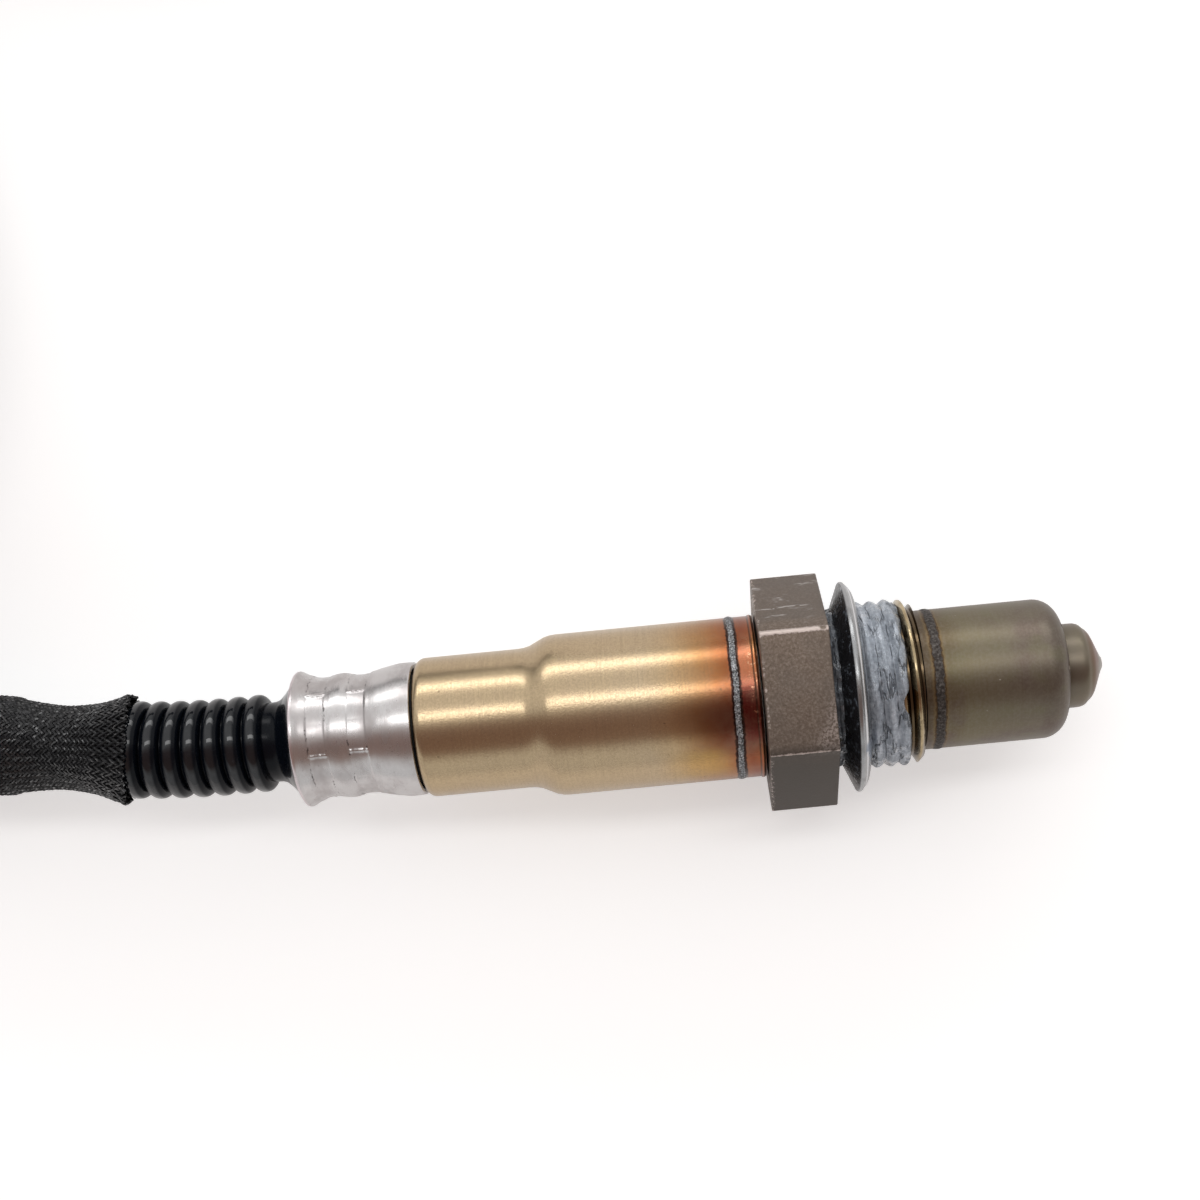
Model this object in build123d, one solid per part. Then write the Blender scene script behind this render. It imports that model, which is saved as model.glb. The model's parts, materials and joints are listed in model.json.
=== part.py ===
from build123d import *
import math
import os

# Planar exhaust oxygen sensor with a sleeved lead, lying on one flat of its hexagon. Millimetres.
# +X runs along the sensor axis towards its tip and +Z is up. The origin is on the axis, where the
# thread starts and the gasket seals.

# Housing
hex_across_flats = 22.0
hex_length = 7.2
neck_r = 8.15
neck_length = 4.3
thread_r = 8.93
thread_length = 5.3
thread_chamfer = 0.7
collar_r = 8.25
collar_length = 6.0
spigot_length = 3.6
bore_r = 5.6
spigot_gap = 0.05
seat_to_seal = 1.0
neck_root_gap = 0.5
element_hole_r = 3.6
lip_r = 4.9
lip_thickness = 0.5

# Sealing gasket, folded from sheet
gasket_r = 11.45
gasket_bore_r = 8.5
gasket_thickness = 3.3
gasket_sheet = 0.45
gasket_seat_gap = 0.05
gasket_rim_from_front = 1.8
gasket_rim_width = 0.65
gasket_dome_width = 2.1
gasket_front_bore_gap = 0.2

# Protection tubes
tube_r = 7.57
tube_wall = 0.4
tube_length = 15.6
tube_end_radius = 2.2
tube_start_gap = 0.2
seam_from_edge = 1.45
seam_width = 1.0
seam_height = 0.08
gas_hole_count = 8
gas_hole_r = 0.55
gas_hole_circle_r = 5.75
nose_r = 4.55
nose_wall = 0.4
nose_gap = 0.05
nose_length = 4.5
nose_dome_length = 2.8
nose_shoulder_r = 2.8
nose_shoulder_length = 1.0
nose_crown = 0.64
vent_hole_r = 0.7
side_hole_count = 6
side_hole_r = 0.6
side_hole_from_flange = 2.6

# Sensor sleeve, in two diameters
sleeve_r = 8.75
sleeve_wall = 0.45
sleeve_small_r = 7.56
sleeve_length = 36.6
sleeve_front_gap = 0.3
step_from_front = 21.9
step_length = 3.0
sleeve_end_radius = 1.5
sleeve_end_hole_r = 5.9
bead_from_front = 2.5
bead_width = 1.1
bead_height = 0.12
foot_from_front = 0.6
foot_width = 1.0
foot_height = 0.22

# Crimp sleeve: two crimped waists between a front swell and a flared rear rim
crimp_gap = 0.15
crimp_length = 12.9
crimp_wall = 0.4
crimp_front_r = 7.12
crimp_swell_r = 7.22
crimp_swell_at = 1.7
crimp_waist_r = 6.54
front_waist_at = 5.9
crimp_middle_r = 6.77
crimp_middle_at = 7.75
rear_waist_from_rim = 3.1
crimp_rim_r = 7.36
crimp_rim_width = 0.5
crimp_end_r = 7.12
crimp_bore_gap = 0.1

# Ceramic element and what packs it
element_width = 4.2
element_thickness = 1.25
element_front = 18.0
element_bevel = 0.15
slot_gap = 0.1
packing_gap = 0.05
bush_bevel = 0.3
front_bush_length = 5.0
powder_length = 4.0
rear_bush_length = 6.2
press_ring_bore_r = 3.4

# Contact holder
holder_r = 5.8
holder_length = 8.8
holder_to_element_end = 0.1
holder_channel_width = 4.6
holder_channel_height = 1.2
holder_split = 0.1
clamp_wall = 0.3
clamp_length = 6.0
clamp_slot = 1.2
clamp_gap = 0.02
contact_width = 0.8
contact_sheet = 0.2
contact_bow = 0.3
contact_length = 8.0
contact_overlap = 0.6
contact_spacing = 1.55
barrel_r = 0.95
barrel_length = 3.0
barrel_gap = 0.7
barrel_from_sleeve_end = 0.85

# Lead wires: three in the upper row and two in the lower one
wire_r = 0.95
wire_pitch = 2.15
wire_row_height = 1.0
grommet_head_r = 7.0
grommet_head_length = 3.0
grommet_cone_length = 1.2
grommet_gap = 0.03
grommet_bore_gap = 0.05

# Corrugated boot
boot_collar_r = 4.38
boot_tube_r = 4.2
boot_bore_r = 3.45
boot_skirt_length = 4.7
boot_flare_r = 6.6
boot_flare_length = 2.1
boot_flare_band = 0.45
boot_flare_start = 0.15
rib_count = 7
rib_pitch = 2.2
rib_r = 1.02
rib_circle_r = 4.3
first_rib_from_crimp = 4.45
spigot_tail = 6.5

# Bend of the boot and the lead: it starts behind the crimp sleeve and turns towards +Y
bend_start = -69.0
bend_radius = 95.0
bend_angle = 7.5

# Cut end of the braided sleeve: radius against distance from the cut
braid_cut_r = 6.12
braid_wall = 0.5
braid_neck_r = 4.64
braid_neck_at = 6.4
braid_bore_r = 4.3
braid_flare_length = 5.1
braid_end_length = 13.6
braid_overlap = 0.9

# Lead, its coil on the floor and its tail
cord_d = 11.0
floor_z = -gasket_r
coil_center = (-157.0, 62.0)
coil_r = 55.0
turn_gap = 0.2
coil_entry = -93.0
climb_end = -50.0
climb_start = 10.0
coil_exit = -265.0
end_run = 10.5

# Connector: a sealed socket with six pins, closed by a cap that the sleeve's end runs into
connector_width = 19.0
connector_height = 15.0
connector_wall = 1.6
connector_corner = 2.2
socket_depth = 13.0
socket_corner = 1.2
block_length = 17.0
seal_length = 4.0
seal_gap = 0.05
latch_width = 7.0
latch_height = 1.6
latch_length = 7.0
latch_peak_length = 1.2
latch_from_mouth = 6.5
key_width = 1.4
key_height = 0.9
key_length = 20.0
lock_length = 6.0
lock_width = 13.0
lock_height = 3.5
lock_sink = 0.4
lock_gap = 0.05
resistor_length = 6.0
resistor_width = 3.2
resistor_thickness = 1.0
resistor_gap = 0.1
pocket_from_seal = 2.0
terminal_width = 1.5
terminal_thickness = 0.8
terminal_stand_out = 7.5
terminal_pitch = 3.6
terminal_row_gap = 4.4
terminal_gap = 0.05
terminal_bevel = 0.25
cap_length = 12.0
cap_shoulder = 5.4
cap_shoulder_inset = 1.0
cap_end_width = 14.6
cap_end_height = 14.0
cap_end_corner = 5.0
cap_wall = 2.1
cap_collar_length = 7.2
ring_wall = 0.9
ring_length = 6.0
sleeve_end_depth = 5.0

# Places that follow from the sizes
hex_front = -neck_length
hex_rear = hex_front - hex_length
collar_rear = hex_rear - collar_length
seal_seat = -seat_to_seal
spigot_r = tube_r - tube_wall - spigot_gap
spigot_front = thread_length + spigot_length
tube_rear = thread_length + tube_start_gap
tube_front = tube_rear + tube_length
nose_front = tube_front + nose_length
sleeve_front = hex_rear - sleeve_front_gap
sleeve_rear = sleeve_front - sleeve_length
sleeve_end_inside = sleeve_rear + sleeve_wall
crimp_front = sleeve_rear - crimp_gap
crimp_rear = crimp_front - crimp_length
crimp_bore_r = crimp_waist_r - crimp_wall - crimp_bore_gap
packing_r = bore_r - packing_gap
powder_front = seal_seat - front_bush_length
rear_bush_front = powder_front - powder_length
press_ring_front = rear_bush_front - rear_bush_length
press_ring_rear = collar_rear + lip_thickness
barrel_rear = sleeve_end_inside + barrel_from_sleeve_end
barrel_front = barrel_rear + barrel_length
element_rear = barrel_front + barrel_gap
holder_rear = element_rear + holder_to_element_end
holder_front = holder_rear + holder_length
grommet_head_rear = sleeve_end_inside + grommet_gap
grommet_head_front = grommet_head_rear + grommet_head_length
boot_skirt_front = crimp_rear + boot_skirt_length
boot_tube_front = crimp_rear - boot_flare_length
first_rib = bend_start - crimp_rear + first_rib_from_crimp
last_rib = first_rib + (rib_count - 1) * rib_pitch
bend_length = bend_radius * math.radians(bend_angle)
boot_past_bend = last_rib + spigot_tail - bend_length
lead_past_bend = braid_end_length - braid_overlap
cord_r = cord_d / 2
cord_z = floor_z + cord_r
upper_z = cord_z + cord_d + turn_gap
connector_z = floor_z + connector_height / 2
block_rear = cap_length
block_front = block_rear + block_length
socket_mouth = block_front + socket_depth
terminal_rear = block_rear + seal_length
terminal_front = block_front + terminal_stand_out
pocket_rear = terminal_rear + pocket_from_seal
inside_width = connector_width - 2 * connector_wall
inside_height = connector_height - 2 * connector_wall

sensor_axis = Axis.X
lead_heading = Vector(-math.cos(math.radians(bend_angle)), math.sin(math.radians(bend_angle)), 0)


def revolved(edges):
    """Solid revolved about the sensor axis from a closed profile in the XY plane."""
    return revolve(make_face(edges), sensor_axis)


def revolved_polygon(points):
    return revolved(Polyline(*points, close=True))


def ring(x_rear, x_front, r_out, r_in):
    return revolved_polygon([(x_rear, r_in), (x_front, r_in), (x_front, r_out), (x_rear, r_out)])


def disc(x_rear, x_front, r):
    return Plane((x_rear, 0, 0), z_dir=(1, 0, 0)) * extrude(Circle(r), x_front - x_rear)


def block(x_rear, x_front, y_low, y_high, z_low, z_high):
    size = (x_front - x_rear, y_high - y_low, z_high - z_low)
    middle = ((x_rear + x_front) / 2, (y_low + y_high) / 2, (z_low + z_high) / 2)
    return Pos(*middle) * Box(*size)


def bar(x_rear, x_front, width, height):
    """Block centred on the axis."""
    return block(x_rear, x_front, -width / 2, width / 2, -height / 2, height / 2)


def side_shape(edges, width):
    """Solid of the given width, centred on the axis, from a closed profile in the XZ plane."""
    upright = Plane(origin=(0, 0, 0), x_dir=(1, 0, 0), z_dir=(0, -1, 0))
    return upright * extrude(make_face(edges), width / 2, both=True)


def swell(r, middle, width, height):
    """Outline across a raised weld bead: its front and rear ends on the wall, and the arc."""
    rear, front = (middle - width / 2, r), (middle + width / 2, r)
    return rear, front, ThreePointArc(rear, (middle, r + height), front)


def quarter(corner, x_reach, y_reach):
    """Quarter-round edge inside a corner: `x_reach` and `y_reach` are its signed radii."""
    lag = 1 - math.sqrt(0.5)
    x, y = corner
    return ThreePointArc((x + x_reach, y), (x + x_reach * lag, y + y_reach * lag), (x, y + y_reach))


# Housing


def make_housing():
    across = Plane((hex_rear, 0, 0), x_dir=(0, 1, 0), z_dir=(1, 0, 0))
    hexagon = across * extrude(RegularPolygon(hex_across_flats / 2, 6, major_radius=False), hex_length)
    body = revolved_polygon(
        [
            (collar_rear, 0),
            (collar_rear, collar_r),
            (hex_rear + neck_root_gap, collar_r),
            (hex_rear + neck_root_gap, neck_r),
            (0, neck_r),
            (0, thread_r),
            (thread_length - thread_chamfer, thread_r),
            (thread_length, thread_r - thread_chamfer),
            (thread_length, spigot_r),
            (spigot_front, spigot_r),
            (spigot_front, 0),
        ]
    )
    bore = revolved_polygon(
        [
            (collar_rear, 0),
            (collar_rear, lip_r),
            (collar_rear + lip_thickness, lip_r),
            (collar_rear + lip_thickness, bore_r),
            (seal_seat, bore_r),
            (seal_seat, element_hole_r),
            (spigot_front, element_hole_r),
            (spigot_front, 0),
        ]
    )
    return hexagon + body - bore


def make_gasket():
    """Sheet folded once at the rim: a flat rear leaf and a domed front leaf, open at the bore."""
    front = -gasket_seat_gap
    back = front - gasket_thickness
    rim = front - gasket_rim_from_front
    rim_rear = (rim - gasket_rim_width / 2, gasket_r - gasket_sheet / 2)
    rim_front = (rim + gasket_rim_width / 2, gasket_r - gasket_sheet / 2)
    dome_end = (front, gasket_r - gasket_dome_width)
    dome_middle = (front - gasket_sheet, gasket_r - gasket_dome_width / 2)
    front_bore_r = gasket_bore_r + gasket_front_bore_gap
    leaf_inside = front - gasket_sheet
    fold_inside = (rim, gasket_r - 1.5 * gasket_sheet)
    return revolved(
        [
            Line((back, gasket_bore_r), rim_rear),
            ThreePointArc(rim_rear, (rim, gasket_r), rim_front),
            ThreePointArc(rim_front, dome_middle, dome_end),
            Line(dome_end, (front, front_bore_r)),
            Line((front, front_bore_r), (leaf_inside, front_bore_r)),
            Line((leaf_inside, front_bore_r), (leaf_inside, dome_end[1])),
            Line((leaf_inside, dome_end[1]), fold_inside),
            Line(fold_inside, (back + gasket_sheet, gasket_bore_r)),
            Line((back + gasket_sheet, gasket_bore_r), (back, gasket_bore_r)),
        ]
    )


# Protection tubes


def make_outer_tube():
    inner_r = tube_r - tube_wall
    inner_end = tube_front - tube_wall
    bend_in = tube_end_radius - tube_wall
    seam_rear, seam_front, seam = swell(tube_r, tube_rear + seam_from_edge, seam_width, seam_height)
    hole_r = nose_r + nose_gap
    tube = revolved(
        [
            Line((tube_rear, inner_r), (tube_rear, tube_r)),
            Line((tube_rear, tube_r), seam_rear),
            seam,
            Line(seam_front, (tube_front - tube_end_radius, tube_r)),
            quarter((tube_front, tube_r), -tube_end_radius, -tube_end_radius),
            Line((tube_front, tube_r - tube_end_radius), (tube_front, hole_r)),
            Line((tube_front, hole_r), (inner_end, hole_r)),
            Line((inner_end, hole_r), (inner_end, inner_r - bend_in)),
            quarter((inner_end, inner_r), -bend_in, -bend_in),
            Line((inner_end - bend_in, inner_r), (tube_rear, inner_r)),
        ]
    )
    drill = disc(tube_front - tube_end_radius, tube_front + tube_wall, gas_hole_r)
    for i in range(gas_hole_count):
        tube -= Rot(360 * i / gas_hole_count, 0, 0) * Pos(0, gas_hole_circle_r, 0) * drill
    return tube


def nose_outline(inset):
    """Dome of the inner tube, from its straight wall to the edge of the vent, `inset` inside it."""
    dome = nose_front - nose_dome_length
    shoulder = (nose_front - nose_shoulder_length - inset, nose_shoulder_r - inset / 2)
    start = (dome - inset / 4, nose_r - inset)
    bulge = (dome + nose_shoulder_length - inset, nose_r - nose_shoulder_length / 2 - inset)
    crown = (nose_front - nose_wall - inset, nose_shoulder_r * nose_crown - inset / 4)
    vent = (nose_front - inset, vent_hole_r)
    return ThreePointArc(start, bulge, shoulder), ThreePointArc(shoulder, crown, vent)


def make_inner_tube():
    """Flanged tube: the flange lies on the housing's spigot, inside the outer tube."""
    flange_front = spigot_front + nose_wall
    inner_r = nose_r - nose_wall
    outer_dome, outer_crown = nose_outline(0)
    inner_dome, inner_crown = nose_outline(nose_wall)
    tube = revolved(
        [
            Line((spigot_front, inner_r), (spigot_front, spigot_r)),
            Line((spigot_front, spigot_r), (flange_front, spigot_r)),
            Line((flange_front, spigot_r), (flange_front, nose_r)),
            Line((flange_front, nose_r), outer_dome @ 0),
            outer_dome,
            outer_crown,
            Line(outer_crown @ 1, inner_crown @ 1),
            inner_crown,
            inner_dome,
            Line(inner_dome @ 0, (spigot_front, inner_r)),
        ]
    )
    drill = Pos(spigot_front + side_hole_from_flange, 0, 0) * extrude(Circle(side_hole_r), nose_r + 1)
    for i in range(side_hole_count):
        tube -= Rot(360 * i / side_hole_count, 0, 0) * drill
    return tube


# Sensor sleeve and crimp sleeve


def sleeve_side(inset):
    """The sleeve's wall from its front edge, over the step, to its end radius, `inset` inside it."""
    large, small = sleeve_r - inset, sleeve_small_r - inset
    step_front = (sleeve_front - step_from_front, large)
    step_rear = (sleeve_front - step_from_front - step_length, small)
    middle = ((step_front[0] + step_rear[0]) / 2, (large + small) / 2)
    bend = sleeve_end_radius - inset
    end = sleeve_rear + inset
    return [
        TangentArc(step_front, middle, tangent=(-1, 0)),
        TangentArc(step_rear, middle, tangent=(1, 0)),
        Line(step_rear, (end + bend, small)),
        quarter((end, small), bend, -bend),
        Line((end, small - bend), (end, sleeve_end_hole_r)),
    ]


def make_sensor_sleeve():
    bead_rear, bead_front, bead = swell(
        sleeve_r, sleeve_front - bead_from_front, bead_width, bead_height
    )
    foot_rear, foot_front, foot = swell(
        sleeve_r, sleeve_front - foot_from_front, foot_width, foot_height
    )
    step_x = sleeve_front - step_from_front
    inner_r = sleeve_r - sleeve_wall
    return revolved(
        [
            Line((sleeve_front, inner_r), (sleeve_front, sleeve_r)),
            Line((sleeve_front, sleeve_r), foot_front),
            foot,
            Line(foot_rear, bead_front),
            bead,
            Line(bead_rear, (step_x, sleeve_r)),
            *sleeve_side(0),
            Line((sleeve_rear, sleeve_end_hole_r), (sleeve_end_inside, sleeve_end_hole_r)),
            *sleeve_side(sleeve_wall),
            Line((step_x, inner_r), (sleeve_front, inner_r)),
        ]
    )


def crimp_side(inset):
    """Wavy wall of the crimp sleeve, front to rear: swell, waist, middle, waist, flared rim."""
    shape = [
        (crimp_front, crimp_front_r),
        (crimp_front - crimp_swell_at, crimp_swell_r),
        (crimp_front - front_waist_at, crimp_waist_r),
        (crimp_front - crimp_middle_at, crimp_middle_r),
        (crimp_rear + rear_waist_from_rim, crimp_waist_r),
        (crimp_rear + crimp_rim_width, crimp_rim_r),
        (crimp_rear, crimp_end_r),
    ]
    return Spline(*[(x, r - inset) for x, r in shape])


def make_crimp_sleeve():
    outside, inside = crimp_side(0), crimp_side(crimp_wall)
    return revolved(
        [outside, Line(outside @ 1, inside @ 1), inside, Line(inside @ 0, outside @ 0)]
    )


# Element, packing and contacts


def make_element():
    element = bar(element_rear, element_front, element_width, element_thickness)
    return chamfer(element.edges().filter_by(Axis.X), element_bevel)


def make_bush(x_rear, x_front):
    slot = bar(x_rear, x_front, element_width + 2 * slot_gap, element_thickness + 2 * slot_gap)
    bush = disc(x_rear, x_front, packing_r) - slot
    rims = [e for e in bush.edges().filter_by(GeomType.CIRCLE)]
    return chamfer(rims, bush_bevel)


def make_powder_seal():
    """Pressed powder that fills the bore between the bushes, all round the element."""
    packed = disc(rear_bush_front, powder_front, packing_r)
    return packed - bar(rear_bush_front, powder_front, element_width, element_thickness)


def make_holder_half(side):
    """Half of the contact holder; `side` is 1 for the upper half and -1 for the lower one."""
    round_bar = disc(holder_rear, holder_front, holder_r)
    half_space = bar(holder_rear, holder_front, 2 * holder_r, 2 * holder_r)
    half = round_bar & (Pos(0, 0, side * (holder_r + holder_split / 2)) * half_space)
    return half - bar(holder_rear, holder_front, holder_channel_width, 2 * holder_channel_height)


def make_clamp():
    middle = (holder_rear + holder_front) / 2
    rear, front = middle - clamp_length / 2, middle + clamp_length / 2
    inner_r = holder_r + clamp_gap
    outer_r = inner_r + clamp_wall
    slot = block(rear, front, 0, outer_r, -clamp_slot / 2, clamp_slot / 2)
    return ring(rear, front, outer_r, inner_r) - slot


def wire_places():
    upper = [(i * wire_pitch, wire_row_height) for i in (-1, 0, 1)]
    lower = [(i * wire_pitch, -wire_row_height) for i in (-0.5, 0.5)]
    return upper + lower


def make_contact(y, z):
    """Bowed spring that bears on the element, with a crimp barrel behind it for the wire."""
    touch = element_thickness / 2
    rise = touch + contact_bow
    start = barrel_front - contact_overlap
    end = start + contact_length
    middle = (start + end) / 2
    profile = [
        ThreePointArc((start, rise), (middle, touch), (end, rise)),
        Line((end, rise), (end, rise + contact_sheet)),
        ThreePointArc(
            (end, rise + contact_sheet), (middle, touch + contact_sheet), (start, rise + contact_sheet)
        ),
        Line((start, rise + contact_sheet), (start, rise)),
    ]
    spring = Pos(0, y / wire_pitch * contact_spacing, 0) * side_shape(profile, contact_width)
    if z < 0:
        spring = mirror(spring, about=Plane.XY)
    return spring + Pos(0, y, z) * disc(barrel_rear, barrel_front, barrel_r)


# Grommet, boot and wires


def make_grommet():
    """Rubber plug: a body in the crimp sleeve, a throat through the end hole, and a head inside."""
    throat_r = sleeve_end_hole_r - grommet_gap
    throat_rear = sleeve_rear - grommet_gap
    shoulder_r = sleeve_small_r - sleeve_end_radius
    plug = revolved_polygon(
        [
            (boot_skirt_front, 0),
            (boot_skirt_front, crimp_bore_r),
            (throat_rear, crimp_bore_r),
            (throat_rear, throat_r),
            (grommet_head_rear, throat_r),
            (grommet_head_rear, shoulder_r),
            (grommet_head_rear + grommet_cone_length, grommet_head_r),
            (grommet_head_front, grommet_head_r),
            (grommet_head_front, 0),
        ]
    )
    for y, z in wire_places():
        plug -= Pos(0, y, z) * disc(boot_skirt_front, grommet_head_front, wire_r + grommet_bore_gap)
    return plug


def bend_arc(y, z):
    return CenterArc((bend_start, bend_radius, z), bend_radius - y, 270, -bend_angle)


def bent_path(y, z, x_start, past_bend):
    """Path at offset (y, z) from the lead's centre: straight, round the bend, straight on."""
    bend = bend_arc(y, z)
    straight = Line((x_start, y, z), bend @ 0)
    return Wire([straight, bend, Line(bend @ 1, bend @ 1 + lead_heading * past_bend)])


def round_sweep(path, r):
    return sweep(Plane(origin=path @ 0, z_dir=path % 0) * Circle(r), path=path)


def make_wire(y, z):
    return round_sweep(bent_path(y, z, barrel_rear, lead_past_bend), wire_r)


def boot_station(distance):
    """Plane across the boot, `distance` behind the start of the bend (negative is before it)."""
    if distance < 0:
        return Plane(origin=(bend_start - distance, 0, 0), z_dir=(-1, 0, 0))
    path = bent_path(0, 0, bend_start + 1, braid_end_length)
    share = (distance + 1) / path.length
    return Plane(origin=path @ share, z_dir=path % share)


def make_boot():
    body = round_sweep(bent_path(0, 0, boot_tube_front, boot_past_bend), boot_tube_r)
    rib = Torus(rib_circle_r, rib_r)
    for i in range(rib_count):
        body += boot_station(first_rib + i * rib_pitch) * rib
    collar_end = crimp_rear - first_rib_from_crimp
    flare_rear = crimp_rear + boot_flare_start
    flare_front = flare_rear + boot_flare_band
    cone_front = flare_front + 2 * boot_flare_band
    flare_middle = (
        crimp_rear - boot_flare_length / 3,
        boot_collar_r + (boot_flare_r - boot_collar_r) / 3,
    )
    skirt = revolved(
        [
            Line((collar_end, 0), (collar_end, boot_collar_r)),
            Line((collar_end, boot_collar_r), (boot_tube_front, boot_collar_r)),
            ThreePointArc((boot_tube_front, boot_collar_r), flare_middle, (flare_rear, boot_flare_r)),
            Line((flare_rear, boot_flare_r), (flare_front, boot_flare_r)),
            Line((flare_front, boot_flare_r), (cone_front, crimp_bore_r)),
            Line((cone_front, crimp_bore_r), (boot_skirt_front, crimp_bore_r)),
            Line((boot_skirt_front, crimp_bore_r), (boot_skirt_front, 0)),
            Line((boot_skirt_front, 0), (collar_end, 0)),
        ]
    )
    bore = round_sweep(bent_path(0, 0, boot_skirt_front, boot_past_bend), boot_bore_r)
    return body + skirt - bore


# Cut end of the braided sleeve, lead, coil and tail


bend_end = bend_arc(0, 0) @ 1
lead_start = bend_end + lead_heading * lead_past_bend


def make_braid_end():
    """Trumpet of braided sleeve: flared at the cut, a neck behind it, and the lead's own width."""
    outline = Spline(
        (0, braid_cut_r),
        (braid_neck_at / 2, (braid_cut_r + 3 * braid_neck_r) / 4),
        (braid_neck_at, braid_neck_r),
        ((braid_neck_at + 2 * braid_end_length) / 3, (braid_neck_r + cord_r) / 2),
        (braid_end_length, cord_r),
    )
    lining = Spline(
        (braid_flare_length, braid_bore_r),
        (braid_flare_length / 2, braid_bore_r + (braid_cut_r - braid_bore_r) / 5),
        (0, braid_cut_r - braid_wall),
    )
    trumpet = revolved(
        [
            outline,
            Line(outline @ 1, (braid_end_length, braid_bore_r)),
            Line((braid_end_length, braid_bore_r), lining @ 0),
            lining,
            Line(lining @ 1, outline @ 0),
        ]
    )
    cut_end = bend_end - lead_heading * braid_overlap
    return Plane(origin=cut_end, x_dir=lead_heading, z_dir=(0, 0, 1)) * trumpet


def on_coil(angle, z):
    """Point on the middle of a turn, and the lead's heading there: clockwise, seen from above."""
    east, north = math.cos(math.radians(angle)), math.sin(math.radians(angle))
    return Vector(coil_center[0] + coil_r * east, coil_center[1] + coil_r * north, z), Vector(
        north, -east, 0
    )


entry, entry_heading = on_coil(coil_entry, cord_z)
tail_start, exit_heading = on_coil(coil_exit, upper_z)

lead_points = [
    lead_start,
    lead_start + lead_heading * end_run,
    Vector(-115.4, 4.9, -1.4),
    Vector(-126.6, 5.7, -4.2),
    Vector(-137.9, 6.2, -5.7),
    entry - entry_heading * end_run,
    entry,
]
tail_points = [
    tail_start,
    tail_start + exit_heading * end_run,
    Vector(-140.4, 118.6, 4.8),
    Vector(-129.6, 119.2, 2.7),
    Vector(-119.1, 119.6, -0.6),
    Vector(-108.4, 119.9, -3.1),
    Vector(-97.4, 120.0, connector_z),
    Vector(-86.9, 120.0, connector_z),
]


def cord_path(name, points):
    """Straight runs joined by arcs as large as the runs allow."""
    radii = []
    for a, b, c in zip(points, points[1:], points[2:]):
        turn = (b - a).get_angle(c - b)
        run = min((b - a).length, (c - b).length)
        radii.append(0.45 * run / math.tan(math.radians(turn / 2)))
    print(name, "radii", [round(r, 1) for r in radii])
    return FilletPolyline(*points, radius=radii)


def cord_tube(name, points):
    path = Wire(cord_path(name, points).edges())
    tube = round_sweep(path, cord_r)
    expected = math.pi * cord_r**2 * path.length
    print(name, "length", round(path.length, 1), "volume", round(tube.volume), "of", round(expected))
    return tube


def turned_section(section, start, end):
    """Part of a turn about the coil's middle, from one angle to the other."""
    upright = Plane(origin=(0, 0, 0), x_dir=(1, 0, 0), z_dir=(0, -1, 0))
    return Rot(0, 0, start) * revolve(upright * section, Axis.Z, revolution_arc=end - start)


def make_coil():
    """Outer shape of the coil: a turn on the floor, a climb, and most of a second turn on top."""
    low = Pos(coil_r, cord_z) * Circle(cord_r)
    high = Pos(coil_r, upper_z) * Circle(cord_r)
    between = Pos(coil_r, (cord_z + upper_z) / 2) * Rectangle(cord_d, upper_z - cord_z)
    coil = turned_section(low, climb_end, coil_entry + 360)
    coil += turned_section(high, coil_exit, climb_start)
    coil += turned_section(between, climb_end, climb_start)
    coil += turned_section(between, coil_exit, coil_entry)
    return Pos(*coil_center, 0) * coil


# Connector, built along +X from its rear face and then laid on the floor in line with the tail

tail_heading = (tail_points[-1] - tail_points[-2]).normalized()
connector_rear = tail_points[-1] - tail_heading * sleeve_end_depth


def laid(shape):
    return Plane(origin=connector_rear, x_dir=tail_heading, z_dir=(0, 0, 1)) * shape


def rounded_outline(x, width, height, corner):
    across = Plane((x, 0, 0), x_dir=(0, 1, 0), z_dir=(1, 0, 0))
    return across * RectangleRounded(width, height, corner)


def rounded_bar(x_rear, x_front, width, height, corner):
    return extrude(rounded_outline(x_rear, width, height, corner), x_front - x_rear)


def terminal_places():
    return [
        (column * terminal_pitch, row * terminal_row_gap / 2)
        for row in (1, -1)
        for column in (-1, 0, 1)
    ]


def lock_pocket(gap, sink):
    """Room for the lock slide, or the slide itself with `gap` round it and its top sunk."""
    top = connector_height / 2
    return block(
        pocket_rear + gap,
        pocket_rear + lock_length - gap,
        -lock_width / 2 + gap,
        lock_width / 2 - gap,
        top - lock_height,
        top - sink,
    )


def resistor_pocket(gap):
    """Room for the trimming resistor under the housing's side wall, or the resistor itself."""
    side = inside_width / 2
    return block(
        pocket_rear + gap,
        pocket_rear + resistor_length - gap,
        side - resistor_thickness,
        side - gap,
        -resistor_width / 2 + gap,
        resistor_width / 2 - gap,
    )


def make_latch_ramp():
    """Wedge on the housing's top that the mating plug's latch snaps over."""
    top = connector_height / 2
    front = socket_mouth - latch_from_mouth
    rear = front - latch_length
    peak = top + latch_height
    profile = Polyline(
        (rear, top - connector_wall / 2),
        (rear, peak),
        (rear + latch_peak_length, peak),
        (front, top),
        (front, top - connector_wall / 2),
        close=True,
    )
    return side_shape(profile, latch_width)


def make_connector_housing():
    body = rounded_bar(block_rear, socket_mouth, connector_width, connector_height, connector_corner)
    for side in (1, -1):
        key = bar(socket_mouth - key_length, socket_mouth, 2 * key_height, key_width)
        body += Pos(0, side * connector_width / 2, 0) * key
    body += make_latch_ramp()
    body -= rounded_bar(block_front, socket_mouth, inside_width, inside_height, socket_corner)
    body -= rounded_bar(block_rear, terminal_rear, inside_width, inside_height, socket_corner)
    slot_size = (terminal_width + 2 * terminal_gap, terminal_thickness + 2 * terminal_gap)
    for y, z in terminal_places():
        body -= Pos(0, y, z) * bar(block_rear, block_front, *slot_size)
    return body - lock_pocket(0, 0) - resistor_pocket(0)


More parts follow.
